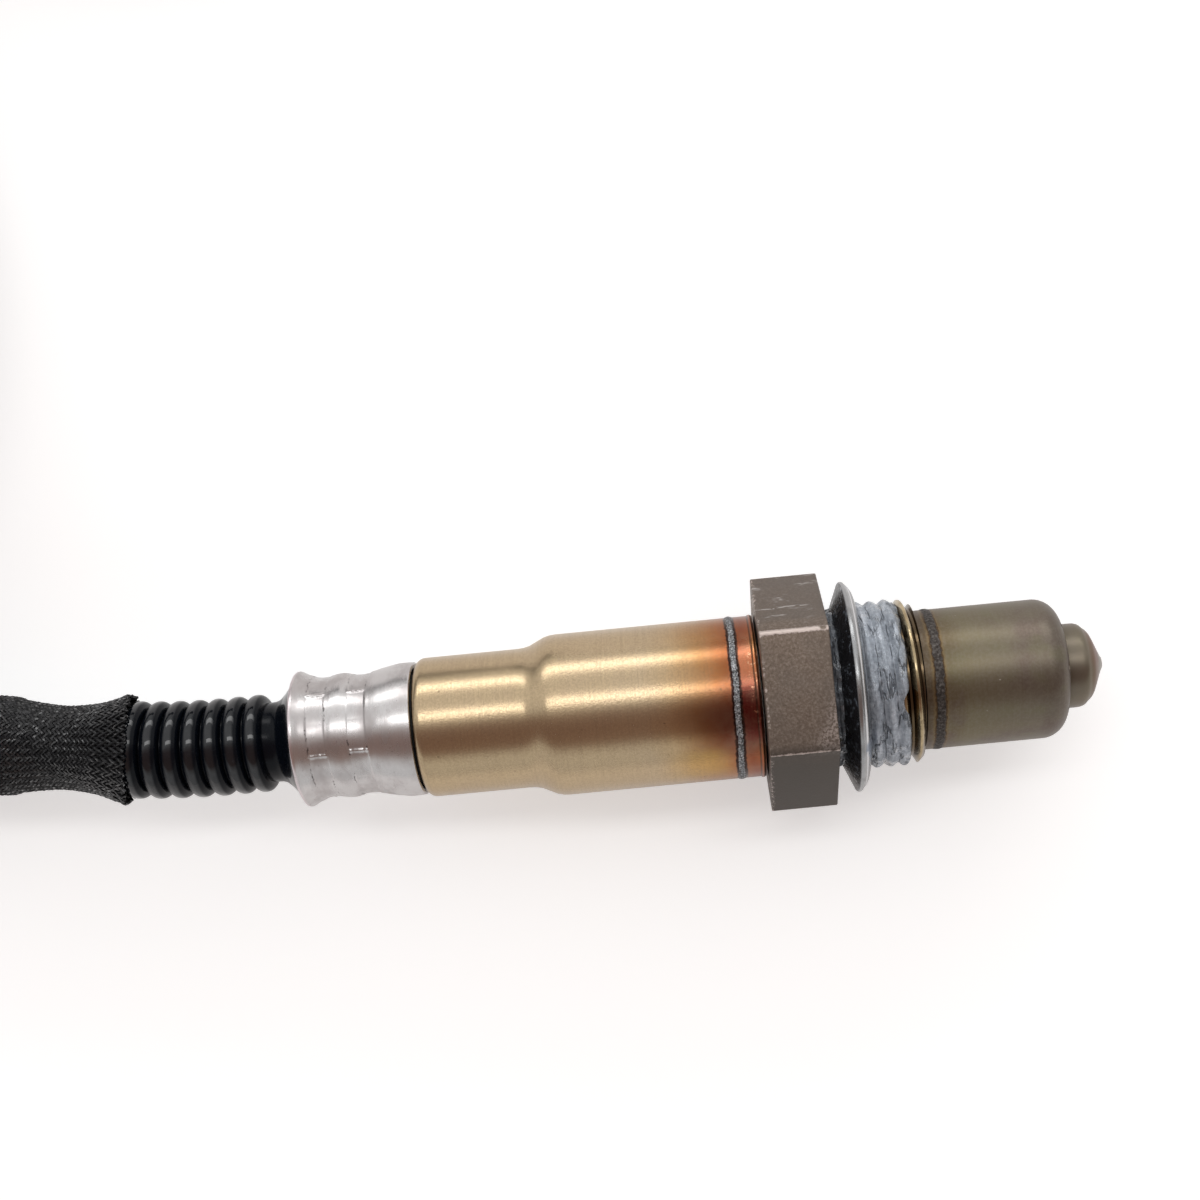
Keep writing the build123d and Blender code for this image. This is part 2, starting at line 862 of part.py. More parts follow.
def make_terminal(y, z):
    pin = Pos(0, y, z) * bar(terminal_rear, terminal_front, terminal_width, terminal_thickness)
    tip = pin.faces().sort_by(Axis.X)[-1]
    return chamfer(tip.edges(), terminal_bevel)


def make_wire_seal():
    width, height = inside_width - 2 * seal_gap, inside_height - 2 * seal_gap
    mat = rounded_bar(block_rear, terminal_rear, width, height, socket_corner)
    for y, z in terminal_places():
        mat -= Pos(0, y, z) * disc(block_rear, terminal_rear, wire_r)
    return mat


def make_cap():
    """Rear cap that tapers from the housing's outline to a round collar over the sleeve's end."""
    wide = rounded_outline(cap_length, connector_width, connector_height, connector_corner)
    shoulder = rounded_outline(
        cap_length - cap_shoulder,
        connector_width - cap_shoulder_inset,
        connector_height - cap_shoulder_inset / 2,
        connector_corner,
    )
    narrow = rounded_outline(0, cap_end_width, cap_end_height, cap_end_corner)
    shell = loft([shoulder, wide], ruled=True) + loft([narrow, shoulder], ruled=True)
    inside = rounded_bar(
        cap_length - cap_shoulder,
        cap_length,
        connector_width - 2 * cap_wall,
        connector_height - 2 * cap_wall,
        socket_corner,
    )
    return shell - inside - disc(0, cap_collar_length, cord_r + ring_wall)


def make_end_ring():
    return ring(0, ring_length, cord_r + ring_wall, cord_r)


def make_tail_wire(y, z):
    return Pos(0, y, z) * disc(sleeve_end_depth, terminal_rear, wire_r)


# Every piece, by the name of its node

pieces = {
    "housing": make_housing(),
    "sealing_gasket": make_gasket(),
    "outer_protection_tube": make_outer_tube(),
    "inner_protection_tube": make_inner_tube(),
    "sensor_sleeve": make_sensor_sleeve(),
    "crimp_sleeve": make_crimp_sleeve(),
    "sensor_element": make_element(),
    "front_bush": make_bush(powder_front, seal_seat),
    "powder_seal": make_powder_seal(),
    "rear_bush": make_bush(press_ring_front, rear_bush_front),
    "press_ring": ring(press_ring_rear, press_ring_front, packing_r, press_ring_bore_r),
    "contact_holder_upper": make_holder_half(1),
    "contact_holder_lower": make_holder_half(-1),
    "holder_clamp": make_clamp(),
    "wire_grommet": make_grommet(),
    "boot": make_boot(),
    "braid_end": make_braid_end(),
}
for number, (y, z) in enumerate(wire_places(), start=1):
    pieces[f"contact_{number}"] = make_contact(y, z)
    pieces[f"lead_wire_{number}"] = make_wire(y, z)

pieces["cable_lead"] = cord_tube("cable_lead", lead_points)
pieces["cable_coil"] = make_coil()
pieces["cable_tail"] = cord_tube("cable_tail", tail_points)
pieces["connector_housing"] = laid(make_connector_housing())
pieces["connector_cap"] = laid(make_cap())
pieces["wire_seal"] = laid(make_wire_seal())
pieces["lock_slide"] = laid(lock_pocket(lock_gap, lock_sink))
pieces["trim_resistor"] = laid(resistor_pocket(resistor_gap))
pieces["sleeve_end_ring"] = laid(make_end_ring())
for number, (y, z) in enumerate(terminal_places(), start=1):
    pieces[f"terminal_{number}"] = laid(make_terminal(y, z))
    if number < 6:
        pieces[f"tail_wire_{number}"] = laid(make_tail_wire(y, z))

os.makedirs("parts", exist_ok=True)
for name, piece in pieces.items():
    print(name, "solids", len(piece.solids()), "volume", round(piece.volume, 1))
    export_step(piece, f"parts/{name}.step")
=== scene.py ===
import bpy
import bmesh
import json
import random
from math import atan2, ceil, cos, degrees, dist, exp, floor, hypot, pi, radians, sin, tan
from mathutils import Matrix, Vector, noise


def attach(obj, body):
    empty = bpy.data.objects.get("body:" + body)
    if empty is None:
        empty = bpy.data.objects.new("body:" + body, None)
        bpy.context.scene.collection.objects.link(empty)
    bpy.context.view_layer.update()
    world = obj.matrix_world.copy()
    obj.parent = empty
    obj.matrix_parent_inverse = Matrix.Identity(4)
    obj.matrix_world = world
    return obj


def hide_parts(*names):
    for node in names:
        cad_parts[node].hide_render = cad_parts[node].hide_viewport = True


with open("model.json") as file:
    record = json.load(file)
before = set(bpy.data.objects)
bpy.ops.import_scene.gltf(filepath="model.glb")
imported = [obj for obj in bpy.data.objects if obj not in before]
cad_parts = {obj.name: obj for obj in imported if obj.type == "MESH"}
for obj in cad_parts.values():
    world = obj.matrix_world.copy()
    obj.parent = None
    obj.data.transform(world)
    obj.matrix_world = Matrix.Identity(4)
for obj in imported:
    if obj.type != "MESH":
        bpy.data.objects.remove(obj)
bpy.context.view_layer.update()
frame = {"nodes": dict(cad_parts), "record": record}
print("frame loaded")

mm = 0.001
xAxis = Vector((1, 0, 0))
scene = bpy.context.scene


# Shader values: an expression on them adds Math nodes

def operator(operation, swapped=False):
    def apply(self, other):
        first, second = (other, self) if swapped else (self, other)
        return self.shader.node("Math", {"operation": operation}, {0: first, 1: second})
    return apply


class Value:
    __add__ = __radd__ = operator("ADD")
    __sub__, __rsub__ = operator("SUBTRACT"), operator("SUBTRACT", swapped=True)
    __mul__ = __rmul__ = operator("MULTIPLY")
    __truediv__ = operator("DIVIDE")

    def __init__(self, shader, socket):
        self.shader, self.socket = shader, socket

    def __abs__(self):
        return self.math("ABSOLUTE")

    def math(self, operation, other=None):
        inputs = {0: self} if other is None else {0: self, 1: other}
        return self.shader.node("Math", {"operation": operation}, inputs)

    def capped(self):
        return self.math("MINIMUM", 1)

    def step(self, low, high):
        # 0 below low, 1 above high, smooth between; low may be the larger one
        if low > high:
            return 1 - self.step(high, low)
        return self.shader.node("MapRange", {"interpolation_type": "SMOOTHSTEP"},
                                {"Value": self, "From Min": low, "From Max": high})


class Shader:
    def __init__(self, name, kind=bpy.data.materials, coordinates="Object"):
        self.owner = kind.new(name)
        self.owner.use_nodes = True
        self.tree = self.owner.node_tree
        self.here = self.node("TexCoord", {}, {}, coordinates)
        self.x, self.y, self.z = self.split(self.here)

    def node(self, kind, settings, inputs, output=0):
        made = self.tree.nodes.new("ShaderNode" + kind)
        for name, value in settings.items():
            setattr(made, name, value)
        self.connect(made, inputs)
        return Value(self, made.outputs[output])

    def connect(self, node, inputs):
        for name, value in inputs.items():
            if isinstance(value, Value):
                self.tree.links.new(value.socket, node.inputs[name])
            else:
                node.inputs[name].default_value = value

    def split(self, vector):
        made = self.node("SeparateXYZ", {}, {0: vector}).socket.node
        return [Value(self, output) for output in made.outputs]

    def stretched(self, x, y, z):
        return self.node("Mapping", {}, {"Vector": self.here, "Scale": (x, y, z)})

    def grain(self, size, detail=2.0, roughness=0.5, at=None):
        # noise from 0 to 1 whose features are about size millimetres across
        inputs = {"Vector": at or self.here, "Scale": 1 / (size * mm), "Detail": detail, "Roughness": roughness}
        return self.node("TexNoise", {}, inputs, "Fac")

    def sway(self, amount, *grain):
        # noise about 0 whose whole range is amount
        return (self.grain(*grain) - 0.5) * amount

    def angle(self):
        # angle about the sensor axis, 0 towards +Z and growing towards +Y
        return self.y.math("ARCTAN2", self.z)

    def radius(self):
        # millimetres from the sensor axis
        return (self.y * self.y + self.z * self.z).math("SQRT") / mm

    def ramp(self, value, stops):
        made = self.node("ValToRGB", {}, {"Fac": value})
        elements = made.socket.node.color_ramp.elements
        for _ in stops[2:]:
            elements.new(1)
        for element, (place, colour) in zip(elements, stops):
            element.position, element.color = place, (*colour, 1)
        return made

    def blend(self, mask, a, b):
        a, b = [(*c, 1) if isinstance(c, tuple) else c for c in (a, b)]
        return self.node("Mix", {"data_type": "RGBA"}, {"Factor": mask, 6: a, 7: b}, 2)

    def paint(self, mask, colour):
        # lays a colour over the base colour where the mask is 1
        self.colour = self.blend(mask, self.colour, colour)

    def bump(self, height, distance):
        return self.node("Bump", {}, {"Height": height, "Distance": distance * mm})

    def finish(self, **sockets):
        sockets["Base_Color"] = self.colour
        inputs = {name.replace("_", " "): (*value, 1) if isinstance(value, tuple) else value
                  for name, value in sockets.items()}
        self.connect(self.tree.nodes["Principled BSDF"], inputs)
        return self.owner


# Meshes

def profileMesh(points, closed=False):
    # a bmesh with one outline in the XZ plane: x along the axis, z the radius
    bm = bmesh.new()
    verts = [bm.verts.new((x * mm, 0, r * mm)) for x, r in points]
    for a, b in zip(verts, verts[1:] + verts[:closed]):
        bm.edges.new((a, b))
    return bm


def lathe(points, steps, closed=True):
    # the outline turned once about the sensor axis
    bm = profileMesh(points, closed)
    bmesh.ops.spin(bm, geom=bm.verts[:] + bm.edges[:], cent=(0, 0, 0), axis=xAxis, angle=2 * pi,
                   steps=steps, use_merge=True)
    bmesh.ops.remove_doubles(bm, verts=bm.verts, dist=1e-7)
    bmesh.ops.recalc_face_normals(bm, faces=bm.faces)
    return bm


def arc(center, radius, start, end, count):
    # points on an arc, angles in degrees from +x towards +r
    turn = [radians(start + (end - start) * i / count) for i in range(count + 1)]
    return [(center[0] + radius * cos(a), center[1] + radius * sin(a)) for a in turn]


def even(points, spacing):
    # the same outline with points added so that none are further apart than spacing
    out = [points[0]]
    for a, b in zip(points, points[1:]):
        parts = max(1, ceil(dist(a, b) / spacing))
        out += [(a[0] + (b[0] - a[0]) * i / parts, a[1] + (b[1] - a[1]) * i / parts)
                for i in range(1, parts + 1)]
    return out


def smoothLine(points, spacing):
    # Catmull-Rom curve through (x, r) points
    ends = [points[0]] + points + [points[-1]]
    out = [points[0]]
    for a, b, c, d in zip(ends, ends[1:], ends[2:], ends[3:]):
        parts = max(2, ceil(dist(b, c) / spacing))
        for i in range(1, parts + 1):
            t = i / parts
            out.append(tuple(
                0.5 * (2 * b[k] + (c[k] - a[k]) * t + (2 * a[k] - 5 * b[k] + 4 * c[k] - d[k]) * t * t
                       + (3 * b[k] - a[k] - 3 * c[k] + d[k]) * t ** 3)
                for k in (0, 1)
            ))
    return out


def smoothStep(low, high, value):
    t = min(1, max(0, (value - low) / (high - low)))
    return t * t * (3 - 2 * t)


def around(co):
    # (x, radius, angle) of a point, the angle 0 towards +Z and growing towards +Y
    return co.x, hypot(co.y, co.z), atan2(co.y, co.z)


def setRadius(vert, r):
    angle = atan2(vert.co.y, vert.co.z)
    vert.co.y, vert.co.z = r * sin(angle), r * cos(angle)


def rough(co, size, seed=0):
    # noise about 0, from -1 to 1
    return noise.noise(co / size + Vector((seed * 17.3, seed * 5.1, seed * 9.7)))


def reshape(bm, beyond, newRadius):
    # moves each vertex beyond a radius to newRadius(x, r, angle), in millimetres
    for vert in bm.verts:
        x, r, a = around(vert.co / mm)
        if r > beyond:
            setRadius(vert, newRadius(x, r, a) * mm)


def bevel(bm, edges, width, segments=2, **options):
    bmesh.ops.bevel(bm, geom=edges, offset=width * mm, affect="EDGES", segments=segments, profile=0.5,
                    material=-1, **options)


def addPrism(bm, sides, radius, length, matrix):
    # centred on the matrix and along its z
    bmesh.ops.create_cone(bm, cap_ends=True, segments=sides, radius1=radius * mm, radius2=radius * mm,
                          depth=length * mm, matrix=matrix)


def addObject(name, data):
    obj = bpy.data.objects.new(name, data)
    scene.collection.objects.link(obj)
    return obj


def meshObject(name, bm):
    mesh = bpy.data.meshes.new(name)
    bm.to_mesh(mesh)
    bm.free()
    return addObject(name, mesh)


def piece(name, bm, material, nodes=(), sharp=35):
    for face in bm.faces:
        face.smooth = True
    for edge in bm.edges:
        edge.smooth = not edge.is_manifold or edge.calc_face_angle(0) < radians(sharp)
    obj = meshObject(name, bm)
    obj.data.materials.append(material)
    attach(obj, "root")
    if nodes:
        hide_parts(*nodes)
    return obj


# Camera, straight above the hexagon and turned so that the sensor rises to the right

view = {"place": (-18.1, 0, 178), "turn": -5.5, "lens": 49.1, "shift": (-0.0836, 0.0843)}


def makeCamera():
    data = bpy.data.cameras.new("camera")
    data.sensor_width = 36
    data.lens = view["lens"]
    data.shift_x, data.shift_y = view["shift"]
    data.clip_start, data.clip_end = 0.01, 20
    camera = addObject("camera", data)
    camera.location = Vector(view["place"]) * mm
    camera.rotation_euler = (0, 0, radians(view["turn"]))
    scene.camera = camera
    scene.view_settings.view_transform = "Standard"


# Studio: a pale floor, a soft surrounding light with bright strips in it, and two softboxes

studio = {
    "floor": -11.46, "floorColour": 0.82, "floorSize": 9.0, "floorLift": 0.42, "mirrorLift": 0.24,
    # lamps: direction from straight up towards +Y in degrees, distance, length and width in metres, brightness
    "softboxes": (
        {"lean": 68, "distance": 0.9, "length": 1.3, "width": 0.2, "glow": 2.8},
        {"lean": 18.5, "distance": 1.0, "length": 1.3, "width": 0.15, "glow": 3.4},
    ),
    # surroundings: direction in the same degrees and brightness
    "surroundings": (
        (-100, (0.66, 0.66, 0.66)), (-62, (0.8, 0.8, 0.8)), (-52, (0.55, 0.52, 0.5)), (-45, (0.3, 0.21, 0.18)),
        (-20, (0.26, 0.175, 0.15)), (-4, (0.3, 0.22, 0.2)), (5, (0.5, 0.46, 0.44)), (12, (0.8, 0.8, 0.8)),
        (24, (0.95, 0.95, 0.95)), (56, (0.95, 0.95, 0.95)), (80, (0.75, 0.75, 0.75)), (100, (0.75, 0.75, 0.75)),
    ),
}


def makeFloor():
    bm = bmesh.new()
    bmesh.ops.create_grid(bm, x_segments=1, y_segments=1, size=studio["floorSize"] / 2)
    bmesh.ops.translate(bm, verts=bm.verts, vec=(0, 0, studio["floor"] * mm))
    plane = meshObject("floor", bm)
    s = Shader("floor")
    s.colour = (studio["floorColour"],) * 3
    seen, mirrored = [s.node("LightPath", {}, {}, name) for name in ("Is Camera Ray", "Is Glossy Ray")]
    lift = seen * studio["floorLift"] + mirrored * studio["mirrorLift"]
    plane.data.materials.append(s.finish(
        Roughness=1, Specular_IOR_Level=0, Emission_Color=(1, 1, 1), Emission_Strength=lift))


def makeWorld():
    # direction only: strips of light along the sensor, with a darker band beside the nearest one
    s = Shader("studio", bpy.data.worlds, "Generated")
    scene.world = s.owner
    lean = s.node("MapRange", {}, {"Value": s.angle(), "From Min": -pi, "From Max": pi})
    strips = s.ramp(lean, [(0.5 + place / 360, glow) for place, glow in studio["surroundings"]])
    seen, passed = [s.node("LightPath", {}, {}, name) for name in ("Is Camera Ray", "Is Transmission Ray")]
    colour = s.blend(seen.math("MAXIMUM", passed), strips, (1, 1, 1))
    s.connect(s.tree.nodes["Background"], {"Color": colour})


def makeSoftboxes():
    for number, box in enumerate(studio["softboxes"], start=1):
        data = bpy.data.lights.new(f"softbox{number}", "AREA")
        data.shape = "RECTANGLE"
        data.size, data.size_y = box["length"], box["width"]
        data.energy = box["glow"] * pi * box["length"] * box["width"]
        lamp = addObject(f"softbox{number}", data)
        lean = radians(box["lean"])
        lamp.location = Vector((0, sin(lean), cos(lean))) * box["distance"]
        lamp.rotation_euler = (-lean, 0, 0)
        lamp.visible_camera = False


# Lead: its route in metres, with the coil's turns as points of the same spline

lead = {
    "out": [
        (-0.09399, 0.00247, 0), (-0.1044, 0.00384, 0), (-0.1154, 0.0049, -0.0014),
        (-0.1266, 0.0057, -0.0042), (-0.1379, 0.0062, -0.0057), (-0.14939, 0.00653, -0.00595),
    ],
    "coilCentre": (-0.157, 0.062), "coilRadius": 0.055, "coilFrom": -93, "coilTo": -625,
    "pointsPerTurn": 24, "low": -0.00595, "high": 0.00525, "climb": (-325, -417),
    "back": [
        (-0.15133, 0.11771, 0.00525), (-0.1404, 0.1186, 0.0048), (-0.1296, 0.1192, 0.0027),
        (-0.1191, 0.1196, -0.0006), (-0.1084, 0.1199, -0.0031), (-0.0974, 0.12, -0.00395),
        (-0.0869, 0.12, -0.00395),
    ],
    # in millimetres: thinner under the yarns, and taped near the connector
    "radius": 5.45, "thin": 0.45, "thickens": (8.0, 10.5),
    "wrapRadius": 5.8, "wrap": (19, 4.4), "sides": 40,
}


def leadPoints():
    points = [Vector(p) for p in lead["out"]]
    first, last = lead["coilFrom"], lead["coilTo"]
    count = ceil((first - last) / 360 * lead["pointsPerTurn"])
    for i in range(count + 1):
        angle = first + (last - first) * i / count
        up = smoothStep(*lead["climb"], angle)
        points.append(Vector((
            lead["coilCentre"][0] + lead["coilRadius"] * cos(radians(angle)),
            lead["coilCentre"][1] + lead["coilRadius"] * sin(radians(angle)),
            lead["low"] + (lead["high"] - lead["low"]) * up,
        )))
    return points + [Vector(p) for p in lead["back"]]


def addSpline(data, kind, points):
    spline = data.splines.new(kind)
    spline.points.add(len(points) - 1)
    for point, place in zip(spline.points, points):
        point.co = (*place, 1)
    return spline


def newCurve():
    data = bpy.data.curves.new("route", "CURVE")
    data.dimensions = "3D"
    return data


def curveMesh(data):
    # the curve's mesh as a bmesh; the curve itself is removed
    route = bpy.data.objects.new("route", data)
    mesh = bpy.data.meshes.new_from_object(route)
    bm = bmesh.new()
    bm.from_mesh(mesh)
    bpy.data.objects.remove(route)
    bpy.data.curves.remove(data)
    bpy.data.meshes.remove(mesh)
    return bm


def splineLine(points, resolution):
    # the line of a NURBS spline through these control points
    data = newCurve()
    spline = addSpline(data, "NURBS", points)
    spline.order_u, spline.use_endpoint_u, spline.resolution_u = 3, True, resolution
    bm = curveMesh(data)
    line = [v.co.copy() for v in bm.verts]
    bm.free()
    return line


def lengthsAlong(line):
    # millimetres from the start of the line to each of its points
    lengths = [0.0]
    for a, b in zip(line, line[1:]):
        lengths.append(lengths[-1] + (b - a).length / mm)
    return lengths


def headings(line):
    return [(b - a).normalized() for a, b in zip([line[0]] + line, line[1:] + [line[-1]])]


def frameAt(place, heading):
    # a matrix whose z runs along the heading, with x to its side and y upwards
    side = Vector((0, 0, 1)).cross(heading).normalized()
    up = heading.cross(side)
    turn = Matrix((side, up, heading)).transposed().to_4x4()
    return Matrix.Translation(place) @ turn


def tubeAlong(line, radii, sides):
    # a closed tube with its length in millimetres along U and one turn across V
    bm = bmesh.new()
    rings = [bmesh.ops.create_circle(bm, segments=sides, radius=r, matrix=frameAt(place, heading))["verts"]
             for place, heading, r in zip(line, headings(line), radii)]
    bm.verts.index_update()

    def ringEdges(ring):
        return list({e for v in ring for e in v.link_edges if e.other_vert(v) in ring})

    for a, b in zip(rings, rings[1:]):
        bmesh.ops.bridge_loops(bm, edges=ringEdges(a) + ringEdges(b))
    for ring in (rings[0], rings[-1]):
        bmesh.ops.edgeloop_fill(bm, edges=ringEdges(ring))
    bmesh.ops.recalc_face_normals(bm, faces=bm.faces)
    along = lengthsAlong(line)
    uv = bm.loops.layers.uv.new("weave")
    for face in bm.faces:
        places = [divmod(loop.vert.index, sides) for loop in face.loops]
        wraps = {i for _, i in places} == {0, sides - 1}
        for loop, (ring, i) in zip(face.loops, places):
            loop[uv].uv = (along[ring], (sides if wraps and i == 0 else i) / sides)
    return bm


# Braided sleeve: yarns that really cross near the boot, then a woven surface on the lead

braid = {
    "cut": (-80.508, 0.693, 0), "bend": 7.5, "straight": 6,
    # radius against distance from the cut end
    "outline": [(0, 6.12), (1.6, 5.5), (3.2, 5.02), (6.4, 4.64), (9.2, 4.83), (11.4, 5.15), (13.6, 5.5), (27, 5.5)],
    "yarns": 64, "yarnRadius": 0.165, "lean": 45, "lift": 0.1, "step": 0.3, "wovenLength": 24.0,
    # the loose ends: how far they reach on one side, and over what length they splay
    "lip": 1.5, "flare": 2.4,
}


def radiusAt(outline, at):
    # smooth value of (place, radius) pairs at a place
    fine = smoothLine(outline, 0.4)
    for (a, ra), (b, rb) in zip(fine, fine[1:]):
        if a <= at <= b:
            return ra + (rb - ra) * (at - a) / (b - a)
    return fine[-1][1]


def braidLine(line):
    # the cut end's straight run and then the lead's own line
    turn = radians(braid["bend"])
    start = Vector(braid["cut"]) * mm
    return [start, start + Vector((-cos(turn), sin(turn), 0)) * braid["straight"] * mm] + line


def walk(points, distance):
    # place and heading at a distance along points
    for a, b in zip(points, points[1:]):
        length = (b - a).length
        if distance <= length or b is points[-1]:
            return a + (b - a) * (distance / length), (b - a).normalized()
        distance -= length


def makeYarns(line, material):
    rng = random.Random(11)
    points = braidLine(line)
    stations = int(braid["wovenLength"] / braid["step"])
    places = [walk(points, i * braid["step"] * mm) for i in range(stations + 1)]
    radii = [radiusAt(braid["outline"], i * braid["step"]) for i in range(stations + 1)]
    pitch = 2 * pi / braid["yarns"]
    data = newCurve()
    data.bevel_depth = braid["yarnRadius"] * mm
    data.bevel_resolution = 0
    data.use_fill_caps = True
    for direction in (1, -1):
        for number in range(braid["yarns"]):
            fray, splay = rng.uniform(-0.22, 0.22), rng.uniform(-0.08, 0.1)
            angle = number * pitch
            made = []
            for i in range(stations + 1):
                place, heading = places[i]
                turn = angle * direction
                # over two of the yarns that it crosses, then under two
                wave = sin(pi / 2 * (2 * turn / pitch + 0.5))
                flare = max(0, 1 - i * braid["step"] / braid["flare"])
                r = radii[i] - braid["yarnRadius"] - braid["lift"] + braid["lift"] * direction * wave
                r += splay * flare ** 2
                reach = fray + braid["lip"] * max(0, sin(turn))
                matrix = frameAt(place - heading * (reach * flare * mm), heading)
                made.append(matrix @ (Vector((cos(turn), sin(turn), 0)) * r * mm))
                angle += braid["step"] * tan(radians(braid["lean"])) / radii[i]
            addSpline(data, "POLY", made)
    return piece("braidYarns", curveMesh(data), material, ("braid_end",), sharp=80)


# Housing: hexagon, neck, thread and spigot

housing = {
    "acrossFlats": 22.0, "rear": -11.5, "front": -4.3, "wornEdge": 0.16, "halfFlat": 6.35,
    "neck": [(-4.4, 0), (-4.4, 8.15), (-4.2, 8.15), (-0.4, 8.15), (0.35, 7.95), (0.35, 0)],
    "spigot": [(4.7, 0), (4.7, 8.0), (4.95, 7.98), (5.2, 7.72), (5.35, 7.74), (5.45, 7.5), (5.5, 7.12), (8.9, 7.12),
               (8.9, 0)],
    "crest": 8.93, "root": 8.02, "pitch": 1.5, "crestWidth": 0.2, "rootWidth": 0.24,
    "threadFrom": 0.0, "threadTo": 5.3, "turns": 7, "steps": 144, "runOut": (8.35, 0.9),
}


def makeHexagon(material):
    bm = bmesh.new()
    radius = housing["acrossFlats"] / 2 / cos(pi / 6)
    middle = (housing["front"] + housing["rear"]) / 2
    addPrism(bm, 6, radius, housing["front"] - housing["rear"],
             Matrix.Translation((middle * mm, 0, 0)) @ Matrix.Rotation(pi / 2, 4, "Y"))
    bevel(bm, bm.edges[:], housing["wornEdge"], segments=3)
    return piece("hexagon", bm, material, ("housing",), sharp=60)


def makeThread(material):
    # one pitch of the thread's outline wound round the axis, cut square at both ends
    crest, root, pitch = housing["crest"], housing["root"], housing["pitch"]
    half, dip = housing["crestWidth"] / 2, housing["rootWidth"] / 2
    one = [(-pitch / 2, root), (-pitch / 2 + dip, root), (-half - 0.06, crest - 0.07), (-half, crest),
           (half, crest), (half + 0.06, crest - 0.07), (pitch / 2 - dip, root), (pitch / 2, root)]
    first = housing["threadFrom"] - 2 * pitch
    bm = profileMesh([(x + first, r) for x, r in one])
    turns, steps = housing["turns"], housing["steps"]
    bmesh.ops.spin(bm, geom=bm.verts[:] + bm.edges[:], cent=(0, 0, 0), axis=xAxis, dvec=(pitch * mm / steps, 0, 0),
                   angle=2 * pi * turns, steps=steps * turns)
    bmesh.ops.remove_doubles(bm, verts=bm.verts, dist=2e-6)
    for at, side in ((housing["threadFrom"], 1), (housing["threadTo"], -1)):
        bmesh.ops.bisect_plane(bm, geom=bm.verts[:] + bm.edges[:] + bm.faces[:], dist=1e-7,
                               plane_co=(at * mm, 0, 0), plane_no=(side, 0, 0), clear_inner=True)
        rim = [e for e in bm.edges if e.is_boundary and all(abs(v.co.x - at * mm) < 1e-6 for v in e.verts)]
        bmesh.ops.edgeloop_fill(bm, edges=rim)
    bmesh.ops.recalc_face_normals(bm, faces=bm.faces)
    last, slope = housing["runOut"]
    for vert in bm.verts:
        x, r, _ = around(vert.co)
        runOut = (housing["threadTo"] * mm - x) * slope + last * mm
        if r > max(mm, runOut):
            setRadius(vert, runOut)
    return piece("thread", bm, material, ("housing",), sharp=50)


def makeTurned(name, material):
    # the neck or the spigot
    return piece(name, lathe(housing[name], 96, closed=False), material, ("housing",))


# Assembly paste: a wrinkled coat over the first turns, and dabs of it on the neck, darker there as painted shade

paste = {
    "from": -0.95, "to": 4.9, "edge": 3.6, "raggedness": 0.3, "crown": 9.04, "valley": 8.62, "wrinkle": 0.06,
    "inside": 7.4, "neckFrom": -4.25, "neckTo": -2.4, "neckRadius": 8.42, "neckInside": 7.6,
    # a gap in the front edge: its angle, width and depth
    "gap": (-0.26, 0.12, 0.6),
}


def pasteRadius(x, a):
    # follows the turns softly, and sinks into them past a ragged front edge
    turn = 0.5 + 0.5 * cos(2 * pi * x / housing["pitch"] + a)
    place = Vector((x, 9 * sin(a), 9 * cos(a)))
    r = paste["valley"] + (paste["crown"] - paste["valley"]) * turn ** 0.7
    smeared = Vector((x, place.y / 3.5, place.z / 3.5))
    r += paste["wrinkle"] * (rough(place, 1.6) + 0.3 * rough(place, 0.5, 1) + 1.1 * rough(smeared, 0.42, 6))
    edge = paste["edge"] + paste["raggedness"] * (rough(place, 3.2, 2) + 0.3 * rough(place, 1.0, 3))
    middle, width, depth = paste["gap"]
    edge -= depth * exp(-(((a - middle) / width) ** 2))
    return r - 1.2 * smoothStep(edge - 0.12, edge + 0.3, x)


def neckPasteRadius(x, r, a):
    place = Vector((x, r * sin(a), r * cos(a)))
    return paste["neckRadius"] + 0.45 * (rough(place, 1.6, 4) + 0.4 * rough(place, 0.5, 5))


def makePaste(material, darkMaterial):
    inside, start, end = paste["inside"], paste["from"], paste["to"]
    bm = lathe(even([(start, 9), (end, 9)], 0.09) + [(end, inside), (start, inside)], 300)
    reshape(bm, 8, lambda x, r, a: max(7.5, pasteRadius(x, a)))
    piece("threadPaste", bm, material, sharp=60)
    inside, start, end = paste["neckInside"], paste["neckFrom"], paste["neckTo"]
    bm = lathe(even([(start, 8.2), (end, 8.2)], 0.12) + [(end, inside), (start, inside)], 240)
    reshape(bm, 8, neckPasteRadius)
    piece("neckPaste", bm, darkMaterial, sharp=60)


# Gasket: two leaves of thin sheet folded at the rim

gasket = {
    "side": [(-3.3, 8.5), (-2.16, 11.2)], "rim": (-1.85, 11.13), "rimWidth": 0.32,
    "dome": [(-1.53, 11.2), (-1.2, 10.9), (-0.95, 10.45), (-0.78, 9.9), (-0.68, 9.35), (-0.66, 8.7)],
    "inside": [(-1.1, 8.7), (-1.1, 9.3), (-1.3, 10.1), (-1.6, 10.6), (-1.85, 10.75), (-2.1, 10.5), (-2.85, 8.5)],
}


def makeGasket(material):
    fold = arc(gasket["rim"], gasket["rimWidth"], 170, 10, 10)
    outer = gasket["side"] + fold[1:-1] + gasket["dome"]
    bm = lathe(even(outer, 0.25) + even(gasket["inside"], 0.4), 180)
    return piece("gasket", bm, material, ("sealing_gasket",))


# Protection tubes

